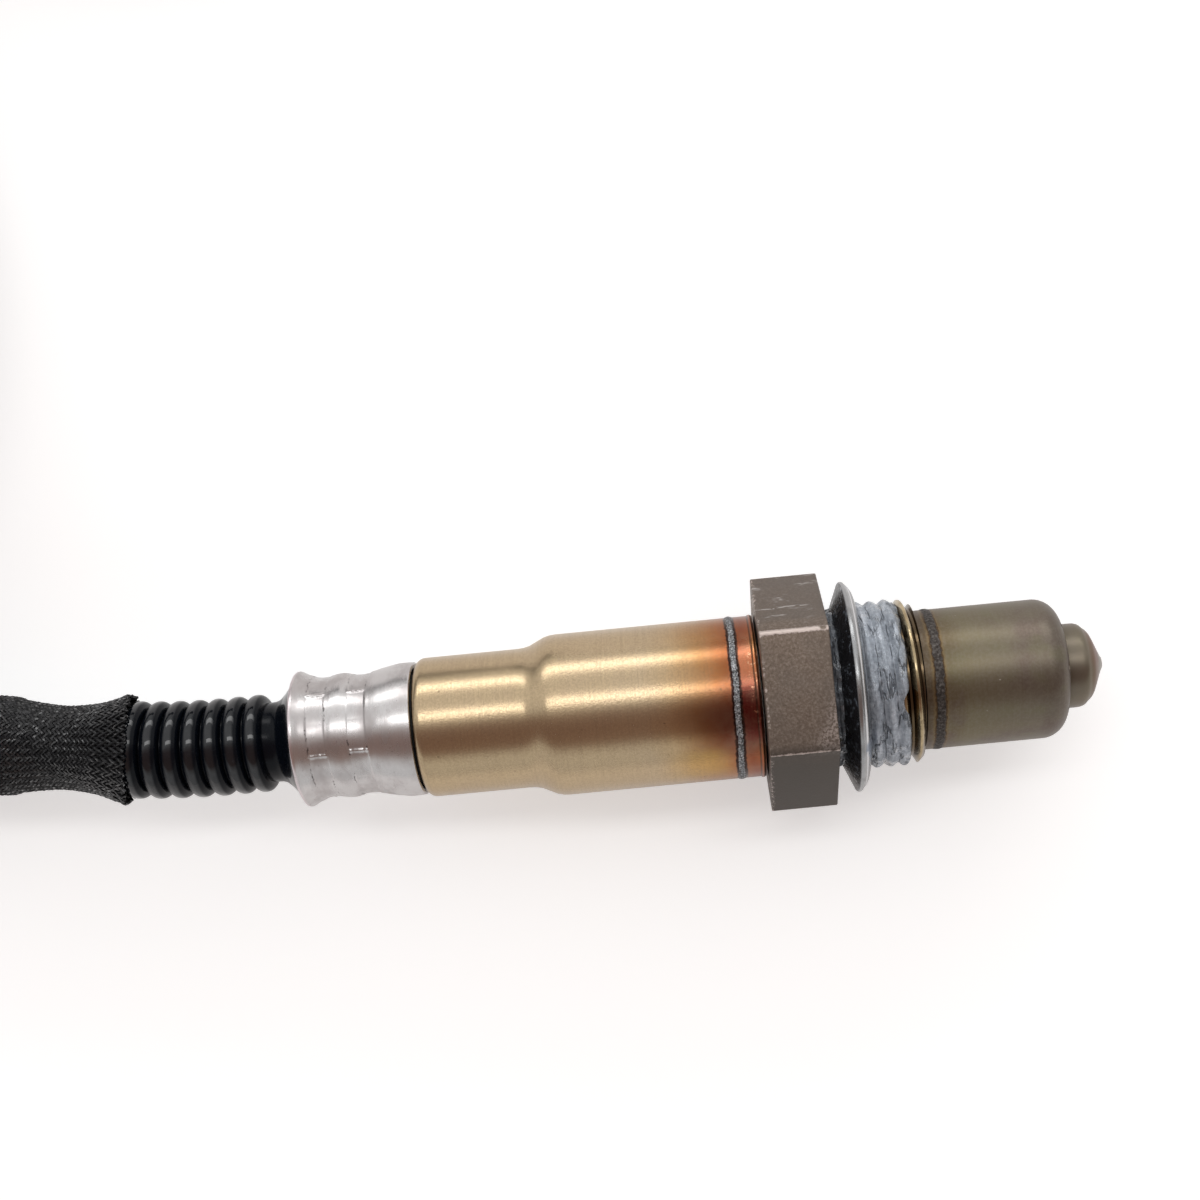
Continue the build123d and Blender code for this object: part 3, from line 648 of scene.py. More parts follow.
tubes = {
    "radius": 7.57, "from": 5.5, "to": 21.1, "wall": 0.4, "endRadius": 2.6, "hole": 4.6,
    "seam": {"at": 6.95, "width": 1.0, "height": 0.09, "waves": ((0.05, 3, 1), (0.03, 11, 0))},
    "gasHoles": 8, "gasHole": 0.55, "gasCircle": 5.75,
    "nose": [(20.6, 4.55), (22.9, 4.55), (23.7, 4.05), (24.2, 3.56), (24.6, 2.79), (25.0, 1.89), (25.5, 0.83),
             (25.6, 0.7)],
    "noseFrom": 5.6, "sideHoles": 6, "sideHole": 0.6, "sideHoleAt": 11.5,
}


def weldHeight(x, a, weld):
    # a bead that wanders and ripples as it goes round
    middle = weld["at"] + sum(size * sin(count * a + start) for size, count, start in weld["waves"])
    across = (x - middle) / (weld["width"] / 2)
    if abs(across) >= 1:
        return 0
    ripple = 0.75 + 0.3 * sin(91 * a + 3 * sin(5 * a)) + 0.2 * rough(Vector((x, 9 * a, 0)), 0.6)
    return weld["height"] * (1 - across * across) * ripple


def cutHoles(bm, holes):
    # each hole is a centre, a direction, a radius and half a length, in millimetres
    cutter = bmesh.new()
    for centre, direction, radius, half in holes:
        turn = direction.to_track_quat("Z", "Y").to_matrix().to_4x4()
        addPrism(cutter, 28, radius, 2 * half, Matrix.Translation(centre * mm) @ turn)
    body, tool = [meshObject("cutting", source) for source in (bm, cutter)]
    cut = body.modifiers.new("holes", "BOOLEAN")
    cut.object, cut.operation, cut.solver = tool, "DIFFERENCE", "EXACT"
    done = bpy.data.meshes.new_from_object(body.evaluated_get(bpy.context.evaluated_depsgraph_get()))
    out = bmesh.new()
    out.from_mesh(done)
    bpy.data.meshes.remove(done)
    for obj in (body, tool):
        mesh = obj.data
        bpy.data.objects.remove(obj)
        bpy.data.meshes.remove(mesh)
    return out


def spokes(count, x, r, start=0.0):
    # a ring of places about the sensor axis with the direction outwards at each
    turns = [2 * pi * (i + start) / count for i in range(count)]
    return [(Vector((x, r * sin(a), r * cos(a))), Vector((0, sin(a), cos(a)))) for a in turns]


def makeOuterTube(material):
    r, wall, bend, front = tubes["radius"], tubes["wall"], tubes["endRadius"], tubes["to"]
    seam = tubes["seam"]["at"]
    outside = [(tubes["from"], r), (seam - 0.8, r)] + even([(seam - 0.7, r), (seam + 0.7, r)], 0.1)
    outside += [(9.5, r), (14, r), (front - bend, r)]
    outside += arc((front - bend, r - bend), bend, 90, 0, 16)[1:] + [(front, tubes["hole"])]
    inside = [(front - wall, tubes["hole"])] + arc((front - bend, r - bend), bend - wall, 0, 90, 6)
    inside += [(tubes["from"], r - wall)]
    bm = lathe(outside + inside, 288)
    reshape(bm, r - 0.1, lambda x, r, a: r + weldHeight(x, a, tubes["seam"]))
    holes = [(place, xAxis, tubes["gasHole"], 2)
             for place, _ in spokes(tubes["gasHoles"], front, tubes["gasCircle"])]
    return piece("outerTube", cutHoles(bm, holes), material, ("outer_protection_tube",))


def makeNose(material):
    back = tubes["noseFrom"]
    outline = [(back, 4.55)] + smoothLine(tubes["nose"], 0.25)
    bm = lathe(outline + [(25.2, 0.7), (24.0, 2.2), (22.8, 4.15), (back, 4.15)], 96)
    bm = cutHoles(bm, [(place, out, tubes["sideHole"], 1) for place, out in
                       spokes(tubes["sideHoles"], tubes["sideHoleAt"], 4.4, 0.5)])
    return piece("nose", bm, material, ("inner_protection_tube",))


# Sensor sleeve in two diameters, welded to the hexagon by a bead

sleeve = {
    "radius": 8.75, "small": 7.56, "front": -11.75, "rear": -48.4,
    "step": [(-33.0, 8.75), (-33.7, 8.71), (-34.4, 8.53), (-35.2, 8.14), (-36.0, 7.76), (-36.7, 7.6), (-37.5, 7.56)],
    "inside": [(-47.9, 5.9), (-47.9, 6.46), (-47.2, 7.11), (-37.5, 7.11), (-33.0, 8.3), (-11.75, 8.3)],
    "endRadius": 1.05, "endHole": 5.9,
    "bead": {"at": -14.3, "width": 0.78, "height": 0.12, "waves": ((0.05, 2, 0.6), (0.03, 9, 0))},
    "footAt": -12.05, "footWidth": 0.5, "footHeight": 0.12,
}


def makeSleeve(material):
    r, small, end, rear = sleeve["radius"], sleeve["small"], sleeve["endRadius"], sleeve["rear"]
    foot = [(sleeve["footAt"] + sleeve["footWidth"] / 2 * c, r + sleeve["footHeight"] * (1 - c * c))
            for c in (1, 0.6, 0.2, -0.2, -0.6, -1)]
    outside = [(sleeve["front"], r)] + foot
    outside += even([(-13.4, r), (-15.2, r)], 0.1) + even([(-16, r), (-33, r)], 2) + sleeve["step"]
    outside += even([(-38.5, small), (rear + end, small)], 2)
    outside += arc((rear + end, small - end), end, 90, 180, 10)[1:] + [(rear, sleeve["endHole"])]
    bm = lathe(outside + sleeve["inside"], 288)
    reshape(bm, r - 0.1, lambda x, r, a: r + weldHeight(x, a, sleeve["bead"]))
    return piece("sensorSleeve", bm, material, ("sensor_sleeve",))


# Crimp sleeve, closed on the boot by two rings of six jaws

crimp = {
    "outline": [
        (-48.52, 7.0), (-48.6, 7.16), (-48.8, 7.22), (-50.2, 7.24), (-51.9, 6.96), (-53.0, 6.7), (-53.7, 6.56),
        (-54.6, 6.52), (-55.4, 6.6), (-56.2, 6.77), (-56.9, 6.74), (-57.6, 6.62), (-58.5, 6.56), (-59.3, 6.65),
        (-60.2, 6.96), (-60.75, 7.25), (-61.0, 7.37), (-61.25, 7.33), (-61.4, 7.1),
    ],
    "inside": [(-61.3, 6.85), (-60.6, 6.75), (-59.0, 6.2), (-54.5, 6.15), (-50.2, 6.8), (-48.65, 6.6)],
    "jaws": 6, "bandWidth": 1.95, "bite": 0.06, "burr": 0.11,
    # middle of each band and the angle of one of its seams, in degrees
    "bands": ((-54.3, 45), (-58.6, 43)),
    "stagger": (0.1, -0.06, 0.04, -0.11, 0.07, -0.03),
}


def seamAway(a, seam):
    # degrees from the nearest seam between two jaws, and which jaw it is
    span = 360 / crimp["jaws"]
    jaw = (degrees(a) - seam) / span
    return abs(jaw - round(jaw)) * span, floor(jaw) % crimp["jaws"]


def crimpPress(x, a):
    # how far the jaws press the wall in at this place, less the burrs that rise between them
    depth = 0
    for number, (middle, seam) in enumerate(crimp["bands"]):
        away, jaw = seamAway(a, seam)
        offset = x - middle - crimp["stagger"][(jaw + 2 * number) % crimp["jaws"]]
        inside = 1 - smoothStep(0.9, 1.04, abs(offset) / (crimp["bandWidth"] / 2))
        if inside:
            burr = crimp["burr"] * exp(-((away / 1.5) ** 2)) * (0.7 + rough(Vector((x, a, 0)), 0.25))
            depth += inside * (crimp["bite"] + 0.09 * (away / 30 - 0.5) - burr)
    return depth


def makeCrimpSleeve(material):
    bm = lathe(smoothLine(crimp["outline"], 0.09) + crimp["inside"], 480)
    for vert in bm.verts:
        x, r, a = around(vert.co / mm)
        if r > 6.45 and not (-60.5 < x < -49 and r < 6.5):
            setRadius(vert, (r - crimpPress(x, a) + 0.02 * rough(vert.co / mm, 2.5)) * mm)
    return piece("crimpSleeve", bm, material, ("crimp_sleeve",))


# Ribbed boot, bent with the lead

boot = {
    "bendFrom": -69.0, "bendRadius": 95.0, "bend": 7.5, "ribs": 7, "firstRib": -65.9, "pitch": 2.2,
    "circle": 4.3, "rib": 1.02, "tube": 4.2, "end": -85.6, "rounding": 0.3,
    "flare": [(-63.9, 4.36), (-63.3, 4.6), (-62.6, 5.25), (-62.0, 5.95), (-61.6, 6.4), (-61.3, 6.6), (-61.0, 6.6)],
}


def bendPoint(co):
    # carries a point of the straight boot on to its bend
    x, y, z = co / mm
    past = boot["bendFrom"] - x
    if past <= 0:
        return co
    radius, turn = boot["bendRadius"], radians(boot["bend"])
    angle = min(past / radius, turn)
    rest = past - angle * radius
    across, along = sin(angle), cos(angle)
    return mm * Vector((
        boot["bendFrom"] - radius * across - rest * along + y * across,
        radius * (1 - along) + rest * across + y * along,
        z,
    ))


def makeBoot(material):
    points = [(-61.0, 0), (-61.0, 6.6)] + smoothLine(boot["flare"][::-1], 0.3)[1:]
    for i in range(boot["ribs"]):
        at = boot["firstRib"] - i * boot["pitch"]
        ring = arc((at, boot["circle"]), boot["rib"], 0, 180, 14)
        points += [p for p in ring if p[1] > boot["tube"] + 0.02]
    end, corner = boot["end"], boot["rounding"]
    points += [(end + corner, boot["tube"]), (end, boot["tube"] - corner), (end, 0)]
    bm = lathe(points, 96, closed=False)
    crown = bm.verts.layers.float.new("crown")
    for vert in bm.verts:
        vert[crown] = around(vert.co / mm)[1] - boot["circle"]
        vert.co = bendPoint(vert.co)
    bmesh.ops.recalc_face_normals(bm, faces=bm.faces)
    return piece("ribbedBoot", bm, material, ("boot",))


# Connector: copies of the CAD pieces with rounded edges, and ribs to grip it by

connector = {
    "edge": 0.28, "ribs": 5, "ribFrom": -78.6, "ribPitch": 1.5, "ribSize": (0.75, 3.6), "ribHeight": 0.35,
    "middle": (120.0, -3.95), "half": 9.5, "ribAbove": 3.6,
    "notch": (-71.0, 120.0), "slideTop": 3.15, "barPitch": 1.3, "bar": (0.55, 8.0, 0.5),
}


def roundedCopy(node, width):
    bm = bmesh.new()
    bm.from_mesh(frame["nodes"][node].data)
    bmesh.ops.remove_doubles(bm, verts=bm.verts, dist=2e-6)
    bmesh.ops.dissolve_limit(bm, angle_limit=radians(1.5), verts=bm.verts, edges=bm.edges)
    bevel(bm, [e for e in bm.edges if e.calc_face_angle(0) > radians(35)], width, clamp_overlap=True)
    return bm


def addBar(bm, centre, size, edge=0.15):
    # a small bar with rounded edges, sunk a little into what it stands on
    stretch = Matrix.Diagonal((*(side * mm for side in size), 1))
    made = bmesh.ops.create_cube(bm, size=1, matrix=Matrix.Translation(Vector(centre) * mm) @ stretch)
    bevel(bm, list({e for v in made["verts"] for e in v.link_edges}), edge)


def makeConnector(plastic):
    y, z = connector["middle"]
    width, depth = connector["ribSize"]
    shell = roundedCopy("connector_housing", connector["edge"])
    for i in range(connector["ribs"]):
        for side in (1, -1):
            place = (connector["ribFrom"] + i * connector["ribPitch"], y + side * connector["half"],
                     z + connector["ribAbove"])
            addBar(shell, place, (width, connector["ribHeight"] * 2, depth))
    cap = roundedCopy("connector_cap", connector["edge"])
    return [
        piece("connectorShell", shell, plastic, ("connector_housing",), sharp=30),
        piece("connectorCap", cap, plastic, ("connector_cap",), sharp=30),
    ]


def makeLockSlide(material):
    slide = roundedCopy("lock_slide", 0.3)
    x, y = connector["notch"]
    for i in (-1, 0, 1):
        addBar(slide, (x + connector["barPitch"] * i, y, connector["slideTop"]), connector["bar"], 0.12)
    return piece("lockSlide", slide, material, ("lock_slide",), sharp=30)


# Finishes of the metal pieces

def brushed(s, fine, share):
    # turning lines round the axis, broken up by an even grain
    rings = s.grain(1000, 2, 0.6, s.stretched(1 / fine / mm, 80, 80))
    return rings * share + s.grain(fine * 1.5, 2, 0.6) * (1 - share)


def weldEdge(s, weld):
    # how far a point is from the middle of the wandering weld, 1 at its edge
    angle = s.angle()
    middle = weld["at"]
    for size, count, start in weld["waves"]:
        middle = (angle * count + start).math("SINE") * size + middle
    return abs((s.x / mm - middle) / (weld["width"] / 2)) + s.sway(0.9, 0.4, 2, 0.6)


def sleeveSteel():
    s = Shader("sleeveSteel")
    x, angle = s.x / mm, s.angle()
    sideways = angle.math("SINE")
    drift = x + s.sway(2.0, 5, 3, 0.55) - 0.3 - sideways * sideways * 1.1
    s.colour = s.ramp((drift + 34) / 23, [
        (0.0, (0.52, 0.4, 0.25)), (0.42, (0.52, 0.4, 0.255)), (0.52, (0.51, 0.365, 0.21)),
        (0.6, (0.46, 0.285, 0.14)), (0.67, (0.41, 0.215, 0.09)), (0.74, (0.37, 0.155, 0.06)),
        (0.8, (0.32, 0.105, 0.04)), (0.86, (0.24, 0.065, 0.03)), (0.91, (0.3, 0.1, 0.045)),
        (1.0, (0.62, 0.32, 0.06)),
    ])
    # painted shade: darker reds on the side towards -Y and in a middle band beside the hexagon, an orange band above
    # it, painted glints beside the hexagon and straw spots below
    # painted shade: dark red on the side towards -Y
    paintedShadeLow = angle.step(0.2, -0.2) * angle.step(-0.85, -0.5) * drift.step(-22.5, -14.8)
    s.paint(paintedShadeLow * 0.75, (0.1, 0.022, 0.02))
    flame = x.step(-14.3, -13.6) * angle.step(0.7, 0.4) * angle.step(0.0, 0.3)
    s.paint(flame * 0.6, (0.7, 0.2, 0.08))
    # painted shade: a dark crimson band beside the hexagon
    paintedShadeBand = x.step(-14.1, -13.6) * angle.step(0.4, 0.05) * angle.step(-0.66, -0.42)
    s.paint(paintedShadeBand * 0.82, (0.13, 0.01, 0.012))
    # painted glints: pale specks beside the hexagon
    paintedGlints = x.step(-13.1, -12.6) * angle.step(0.75, 0.5) * angle.step(-0.45, -0.15)
    paintedGlints = paintedGlints * s.grain(0.45, 3, 0.7).step(0.57, 0.66)
    s.paint(paintedGlints * 0.8, (0.9, 0.5, 0.3))
    straw = angle.step(-0.55, -0.75) * angle.step(-1.3, -1.0) * drift.step(-24, -20) * drift.step(-15.6, -18.5)
    s.paint(straw * 0.5, (0.56, 0.36, 0.12))
    cloud = s.grain(3.2, 3, 0.55).step(0.35, 0.7)
    s.paint(cloud * 0.16, (0.46, 0.35, 0.25))
    speck = s.grain(0.7, 1, 0.5).step(0.77, 0.82)
    s.paint(speck * 0.5, (0.12, 0.07, 0.04))
    edge = weldEdge(s, sleeve["bead"])
    # ashen lumps with a dark line along both sides
    s.paint(edge.step(0.65, 0.85) * edge.step(1.65, 1.2), (0.02, 0.008, 0.01))
    onWeld = edge.step(0.86, 0.7)
    s.paint(onWeld, s.ramp(s.grain(0.18, 3, 0.7), [
        (0.36, (0.03, 0.03, 0.031)), (0.46, (0.13, 0.132, 0.135)), (0.55, (0.29, 0.293, 0.3)),
        (0.66, (0.62, 0.625, 0.64)),
    ]))
    foot = abs(x + 12.3).step(0.13, 0.05) + x.step(-12.02, -11.9)
    s.paint(foot.capped() * 0.7, (0.02, 0.01, 0.008))
    fine = brushed(s, 0.16, 0.34)
    s.paint(fine.step(0.35, 0.7) * (1 - onWeld) * 0.26, (0.2, 0.13, 0.075))
    height = fine + s.grain(0.22, 2, 0.55) * 0.5 + s.grain(0.28, 2, 0.6) * onWeld * 7
    return s.finish(Metallic=1.0, Roughness=0.19 + fine * 0.12 + onWeld * 0.3, Normal=s.bump(height, 0.01))


def crimpSteel():
    s = Shader("crimpSteel")
    x = s.x / mm
    fine = brushed(s, 0.2, 0.7)
    dull = s.grain(2.2, 3, 0.6, s.stretched(1, 0.6, 0.6)).step(0.35, 0.72)
    s.colour = s.blend(dull * 0.65, (0.59, 0.57, 0.565), (0.36, 0.325, 0.32))
    rim = x.step(-60.9, -61.15)
    s.paint(rim * 0.6, (0.78, 0.68, 0.7))
    mark = s.grain(0.5, 2, 0.6).step(0.7, 0.78)
    s.paint(mark * 0.6, (0.2, 0.18, 0.18))
    # dark scrapes where the edges of the jaws bit in
    scrape = s.grain(1.6, 2, 0.6).step(0.52, 0.6) * s.grain(0.3, 2, 0.6).step(0.4, 0.55)
    jagged = s.sway(0.5, 0.7, 3, 0.7)
    for middle, _ in crimp["bands"]:
        edge = abs(abs(x - middle + jagged) - crimp["bandWidth"] / 2).step(0.1, 0.03)
        s.paint(edge * scrape * 0.85, (0.09, 0.08, 0.08))
    return s.finish(Metallic=1.0, Roughness=0.19 + fine * 0.08 + dull * 0.1, Normal=s.bump(fine, 0.008))


def fromCorner(s):
    # on the hexagon: millimetres to the nearest long edge
    third = pi / 3
    # ten turns of a sixth keep the angle above zero
    turn = s.angle() + third / 2 + 10 * third
    local = turn.math("MODULO", third) - third / 2
    return housing["halfFlat"] - abs(local).math("TANGENT") * (housing["acrossFlats"] / 2)


def hexagonSteel():
    s = Shader("hexagonSteel")
    x, y, z = s.x / mm, s.y / mm, s.z / mm
    grain = s.grain(0.28, 3, 0.75)
    s.colour = s.ramp(grain, [
        (0.25, (0.105, 0.08, 0.062)), (0.5, (0.17, 0.132, 0.105)), (0.75, (0.29, 0.235, 0.195)),
    ])
    cool = s.grain(6, 2, 0.5).step(0.35, 0.7)
    s.paint(cool * 0.35, (0.15, 0.135, 0.12))
    # paler grain towards one corner of the upper flat
    worn = z.step(10, 10.6) * (x + y * -0.55 + s.sway(6, 3, 3)).step(-4.4, -1.6)
    s.paint(worn * grain.step(0.42, 0.6) * 0.75, (0.42, 0.36, 0.33))
    side = z.step(9.5, 8.5)
    s.paint(side * 0.45, (0.135, 0.115, 0.1))
    # painted shade: the flat towards -Y is painted darker
    s.paint(y.step(-5, -6.6) * 0.8, (0.068, 0.06, 0.053))
    # rubbed patches and scratches on the flat towards +Y
    rub = y.step(6.6, 7.2) * s.grain(1000, 3, 0.75, s.stretched(300, 1100, 1100)).step(0.54, 0.66)
    rub = rub * s.grain(3, 2).step(0.48, 0.6)
    scratch = abs(y - 8.95 + s.sway(0.5, 2, 2)).step(0.09, 0.03)
    scratch = scratch * z.step(4, 5) * x.step(-5.6, -6.4) * s.grain(0.6, 2).step(0.35, 0.5)
    s.paint((rub * 0.9 + scratch * 0.8).capped(), (0.45, 0.42, 0.4))
    # burrs along the edges
    ragged = s.sway(0.5, 0.5, 3, 0.7)
    upper = y.step(5.2, 5.8) * z.step(9, 10)
    away = fromCorner(s) + ragged
    burr = away.step(0.14, 0.02) + away.step(0.42, 0.24) * upper
    rear = (x + 11.5 + ragged * 1.4).step(0.4, 0.1) * s.grain(0.3, 3, 0.7).step(0.48, 0.6)
    rear = rear * s.grain(1.9, 2, 0.6).step(0.42, 0.56)
    edge = (burr + rear).capped() * s.grain(1.2, 2).step(0.25, 0.45)
    s.paint(edge * 0.9, (0.55, 0.47, 0.43))
    return s.finish(Metallic=0.85, Roughness=0.42 + grain * 0.16 - edge * 0.12,
                    Normal=s.bump(grain + edge * 0.6, 0.02))


def turnedSteel(name, low, high, roughness, root=None):
    # neck, spigot and thread: turned steel with a bronze heat colour, darker below the root radius as painted shade in
    # the grooves; on the neck, near-black colours as painted shade
    s = Shader(name)
    fine = brushed(s, 0.22, 0.8)
    tint = s.grain(2.5, 3, 0.6).step(0.3, 0.7)
    s.colour = s.blend(tint, low, high)
    if root:
        # painted shade: darker in the thread's grooves, below the root radius
        s.paint(s.radius().step(root + 0.75, root + 0.2), (0.11, 0.078, 0.045))
    grime = s.grain(0.9, 3, 0.7).step(0.55, 0.75)
    s.paint(grime * 0.5, (0.05, 0.042, 0.035))
    return s.finish(Metallic=1.0, Roughness=roughness + grime * 0.2, Normal=s.bump(fine, 0.012))


def gasketSteel():
    s = Shader("gasketSteel")
    fine = brushed(s, 0.18, 0.5)
    stain = s.grain(1.8, 3, 0.6, s.stretched(1, 0.5, 0.5)).step(0.45, 0.72)
    x, angle = s.x / mm, s.angle()
    radius = s.radius()
    s.colour = s.blend(stain * 0.6, (0.36, 0.365, 0.37), (0.17, 0.165, 0.16))
    # painted highlights: bright lines beside the fold, and painted shade: duller bands between them
    line = abs(radius - 11.02).step(0.1, 0.03) + abs(radius - 10.35).step(0.12, 0.04) * 0.6
    s.paint(line.capped(), (0.68, 0.68, 0.69))
    dull = abs(radius - 10.72).step(0.16, 0.05) + radius.step(10.2, 9.9)
    s.paint(dull.capped() * 0.5, (0.12, 0.12, 0.125))
    # painted shade: the rear leaf, facing the dark hexagon, is painted near black, with oily patches of paste on it
    rearLeaf = x.step(-1.98, -2.12)
    oily = s.grain(0.8, 3, 0.7).step(0.55, 0.7)
    s.paint(rearLeaf, s.blend(oily * 0.7, (0.012, 0.012, 0.014), (0.16, 0.19, 0.23)))
    # paste smeared over the rim
    smear = angle.step(-0.5, -0.62) * angle.step(-0.95, -0.8)
    smear = smear * (radius + s.sway(1.6, 1.2, 3)).step(11.1, 10.8) * x.step(-1.9, -1.7)
    s.paint(smear * 0.85, (0.24, 0.28, 0.34))
    lumpy = (smear + rearLeaf * 1.5) * s.grain(0.6, 3, 0.6)
    return s.finish(Metallic=1.0 - rearLeaf, Roughness=0.24 + stain * 0.12 + smear * 0.15,
                    Specular_IOR_Level=0.15, Coat_Weight=rearLeaf * (0.15 + oily * 0.7), Coat_Roughness=0.08,
                    Normal=s.bump(fine + lumpy * 9, 0.008))


def tubeSteel():
    s = Shader("tubeSteel")
    s.colour = s.ramp((s.x / mm + s.sway(3, 4, 3)) / 22, [
        (0.25, (0.085, 0.06, 0.036)), (0.35, (0.13, 0.1, 0.058)), (0.45, (0.165, 0.14, 0.088)),
        (0.75, (0.16, 0.135, 0.1)), (0.9, (0.14, 0.115, 0.092)), (1.0, (0.125, 0.105, 0.085)),
    ])
    plum = s.grain(4.8, 3, 0.55).step(0.46, 0.68)
    s.paint(plum * 0.6, (0.12, 0.085, 0.075))
    green = s.grain(4.1, 2, 0.5, s.stretched(1, 1.3, 1.3)).step(0.5, 0.7)
    s.paint(green * 0.4, (0.16, 0.15, 0.085))
    grain = brushed(s, 0.2, 0.3)
    s.paint(grain.step(0.35, 0.7) * 0.28, (0.24, 0.21, 0.17))
    speck = s.grain(0.6, 1, 0.5).step(0.79, 0.83)
    s.paint(speck * 0.8, (0.55, 0.52, 0.45))
    edge = weldEdge(s, tubes["seam"])
    # rust beside the seam, dark lumps on it and a darker line along both sides
    s.paint(edge.step(1.9, 1.1) * 0.5, (0.2, 0.13, 0.05))
    onSeam = edge.step(1.0, 0.85)
    s.paint(onSeam, s.ramp(s.grain(0.3, 3, 0.7), [
        (0.3, (0.025, 0.02, 0.018)), (0.5, (0.06, 0.052, 0.047)), (0.75, (0.17, 0.155, 0.145)),
    ]))
    s.paint(edge.step(0.85, 1.0) * edge.step(1.35, 1.1) * 0.8, (0.06, 0.035, 0.02))
    height = grain + s.grain(0.42, 2, 0.6) * onSeam * 10
    return s.finish(Metallic=0.85, Roughness=0.36 + grain * 0.1 + onSeam * 0.15, Normal=s.bump(height, 0.008))


def noseSteel():
    s = Shader("noseSteel")
    s.colour = s.ramp((s.x / mm - 20 + s.sway(0.8, 2, 2)) / 6, [
        (0.0, (0.09, 0.075, 0.055)), (0.3, (0.165, 0.14, 0.108)), (0.58, (0.19, 0.16, 0.12)),
        (0.68, (0.18, 0.12, 0.085)), (0.76, (0.17, 0.085, 0.06)), (0.84, (0.27, 0.23, 0.2)),
        (0.92, (0.42, 0.4, 0.38)),
    ])
    green = s.grain(3, 2, 0.5).step(0.45, 0.7)
    s.paint(green * 0.25, (0.15, 0.14, 0.09))
    fine = brushed(s, 0.2, 0.6)
    return s.finish(Metallic=0.9, Roughness=0.34 + fine * 0.1, Normal=s.bump(fine, 0.008))


def assemblyPaste(name, shade, gloss):
    s = Shader(name)
    # drawn out round the thread by the turning
    drawn = s.stretched(1, 0.25, 0.25)
    mottled = s.grain(1.1, 4, 0.65, drawn) * 0.6 + s.grain(0.4, 3, 0.7) * 0.4
    s.colour = s.ramp(mottled, [
        (place, tuple(c * shade for c in tone))
        for place, tone in ((0.32, (0.15, 0.17, 0.2)), (0.5, (0.32, 0.355, 0.4)), (0.66, (0.58, 0.62, 0.68)))
    ])
    # painted shade: darker where the paste lies low, and dark lines in its folds and along the thread's grooves
    s.paint(s.radius().step(8.66, 8.5) * 0.5, (0.09, 0.1, 0.115))
    fold = abs(s.grain(1.6, 3, 0.6, drawn) - 0.5).step(0.035, 0.004)
    fold = fold * s.grain(3.5, 2, 0.5).step(0.42, 0.56)
    turn = s.x / mm / housing["pitch"] + s.angle() / (2 * pi) + s.sway(0.25, 2, 2, 0.5)
    groove = abs(turn.math("FRACT") - 0.5).step(0.045, 0.01) * s.grain(2.2, 2, 0.6).step(0.4, 0.55)
    fold = fold.math("MAXIMUM", groove)
    s.paint(fold * 0.7, (0.06, 0.07, 0.085))
    wet = s.grain(1.1, 3, 0.6).step(0.5, 0.62)
    height = s.grain(0.26, 3, 0.7) * 1.2 + s.grain(0.9, 3, 0.6, drawn) * 2.5 - fold * 3
    return s.finish(Metallic=0.4, Roughness=0.42 - wet * 0.32, Coat_Weight=wet * gloss, Coat_Roughness=0.04,
                    Normal=s.bump(height, 0.07))


# Finishes of the rubber, the braid and the connector

def bootRubber():
    s = Shader("bootRubber")
    dust = s.grain(0.6, 3, 0.7).step(0.55, 0.8)
    s.colour = s.blend(dust * 0.3, (0.0022, 0.0032, 0.0055), (0.015, 0.018, 0.025))
    fine = s.grain(0.25, 2, 0.6)
    # wiped clean along the crowns of the ribs
    crown = s.node("Attribute", {"attribute_name": "crown"}, {}, "Fac")
    gloss = (0.04 + crown.step(0.88, 1.0) * 0.62) * (0.75 + s.grain(0.7, 2, 0.6) * 0.5)
    return s.finish(Roughness=0.2 + dust * 0.25, Specular_IOR_Level=0.1, Coat_Weight=gloss,
                    Coat_IOR=1.65, Coat_Roughness=0.035, Normal=s.bump(fine, 0.01))


def yarnFinish():
    s = Shader("braidYarn")
    tone = s.grain(0.6, 2, 0.6)
    s.colour = s.ramp(tone, [(0.3, (0.0025, 0.0025, 0.003)), (0.7, (0.014, 0.014, 0.016))])
    fibres = s.grain(0.09, 2, 0.7)
    glint = s.grain(0.4, 2, 0.7).step(0.46, 0.6)
    return s.finish(Roughness=0.26 + tone * 0.2, Specular_IOR_Level=0.25, Coat_Weight=glint,
                    Coat_Roughness=0.06, Normal=s.bump(fibres, 0.04))


def sleeveWeave():
    # the same braid as a pattern on the lead: two sets of yarns, over two and under two
    s = Shader("sleeveWeave")
    along, turn, _ = s.split(s.node("UVMap", {"uv_map": "weave"}, {}))
    count = braid["yarns"]
    advance = along * (count / (2 * pi * 5.3))
    first, second = turn * count + advance, turn * count - advance

    def yarn(place, sign):
        across = place.math("FRACT") - 0.5
        over = ((first + second) * (pi / 2) + pi / 4).math("SINE") * sign
        return 1 - across * across * 3.4 + over * 0.55

    height = yarn(first, 1).math("MAXIMUM", yarn(second, -1))
    tone = s.grain(0.6, 2, 0.6)
    # painted shade: darker where the yarns lie low
    s.colour = s.ramp(height + tone * 0.3, [(0.5, (0.002, 0.002, 0.0025)), (1.5, (0.014, 0.014, 0.016))])
    glint = s.grain(0.4, 2, 0.7).step(0.46, 0.6)
    return s.finish(Roughness=0.36 + tone * 0.2, Specular_IOR_Level=0.25, Coat_Weight=glint * 0.5,
                    Coat_Roughness=0.25, Normal=s.bump(height, 0.2))


def mouldedPlastic(name, colour, paler, roughness):
    s = Shader(name)
    s.colour = s.blend(s.grain(4, 3, 0.6).step(0.35, 0.7) * 0.6, colour, paler)
    grain = s.grain(0.22, 2, 0.6)
    return s.finish(Roughness=roughness + grain * 0.12, Normal=s.bump(grain, 0.015))


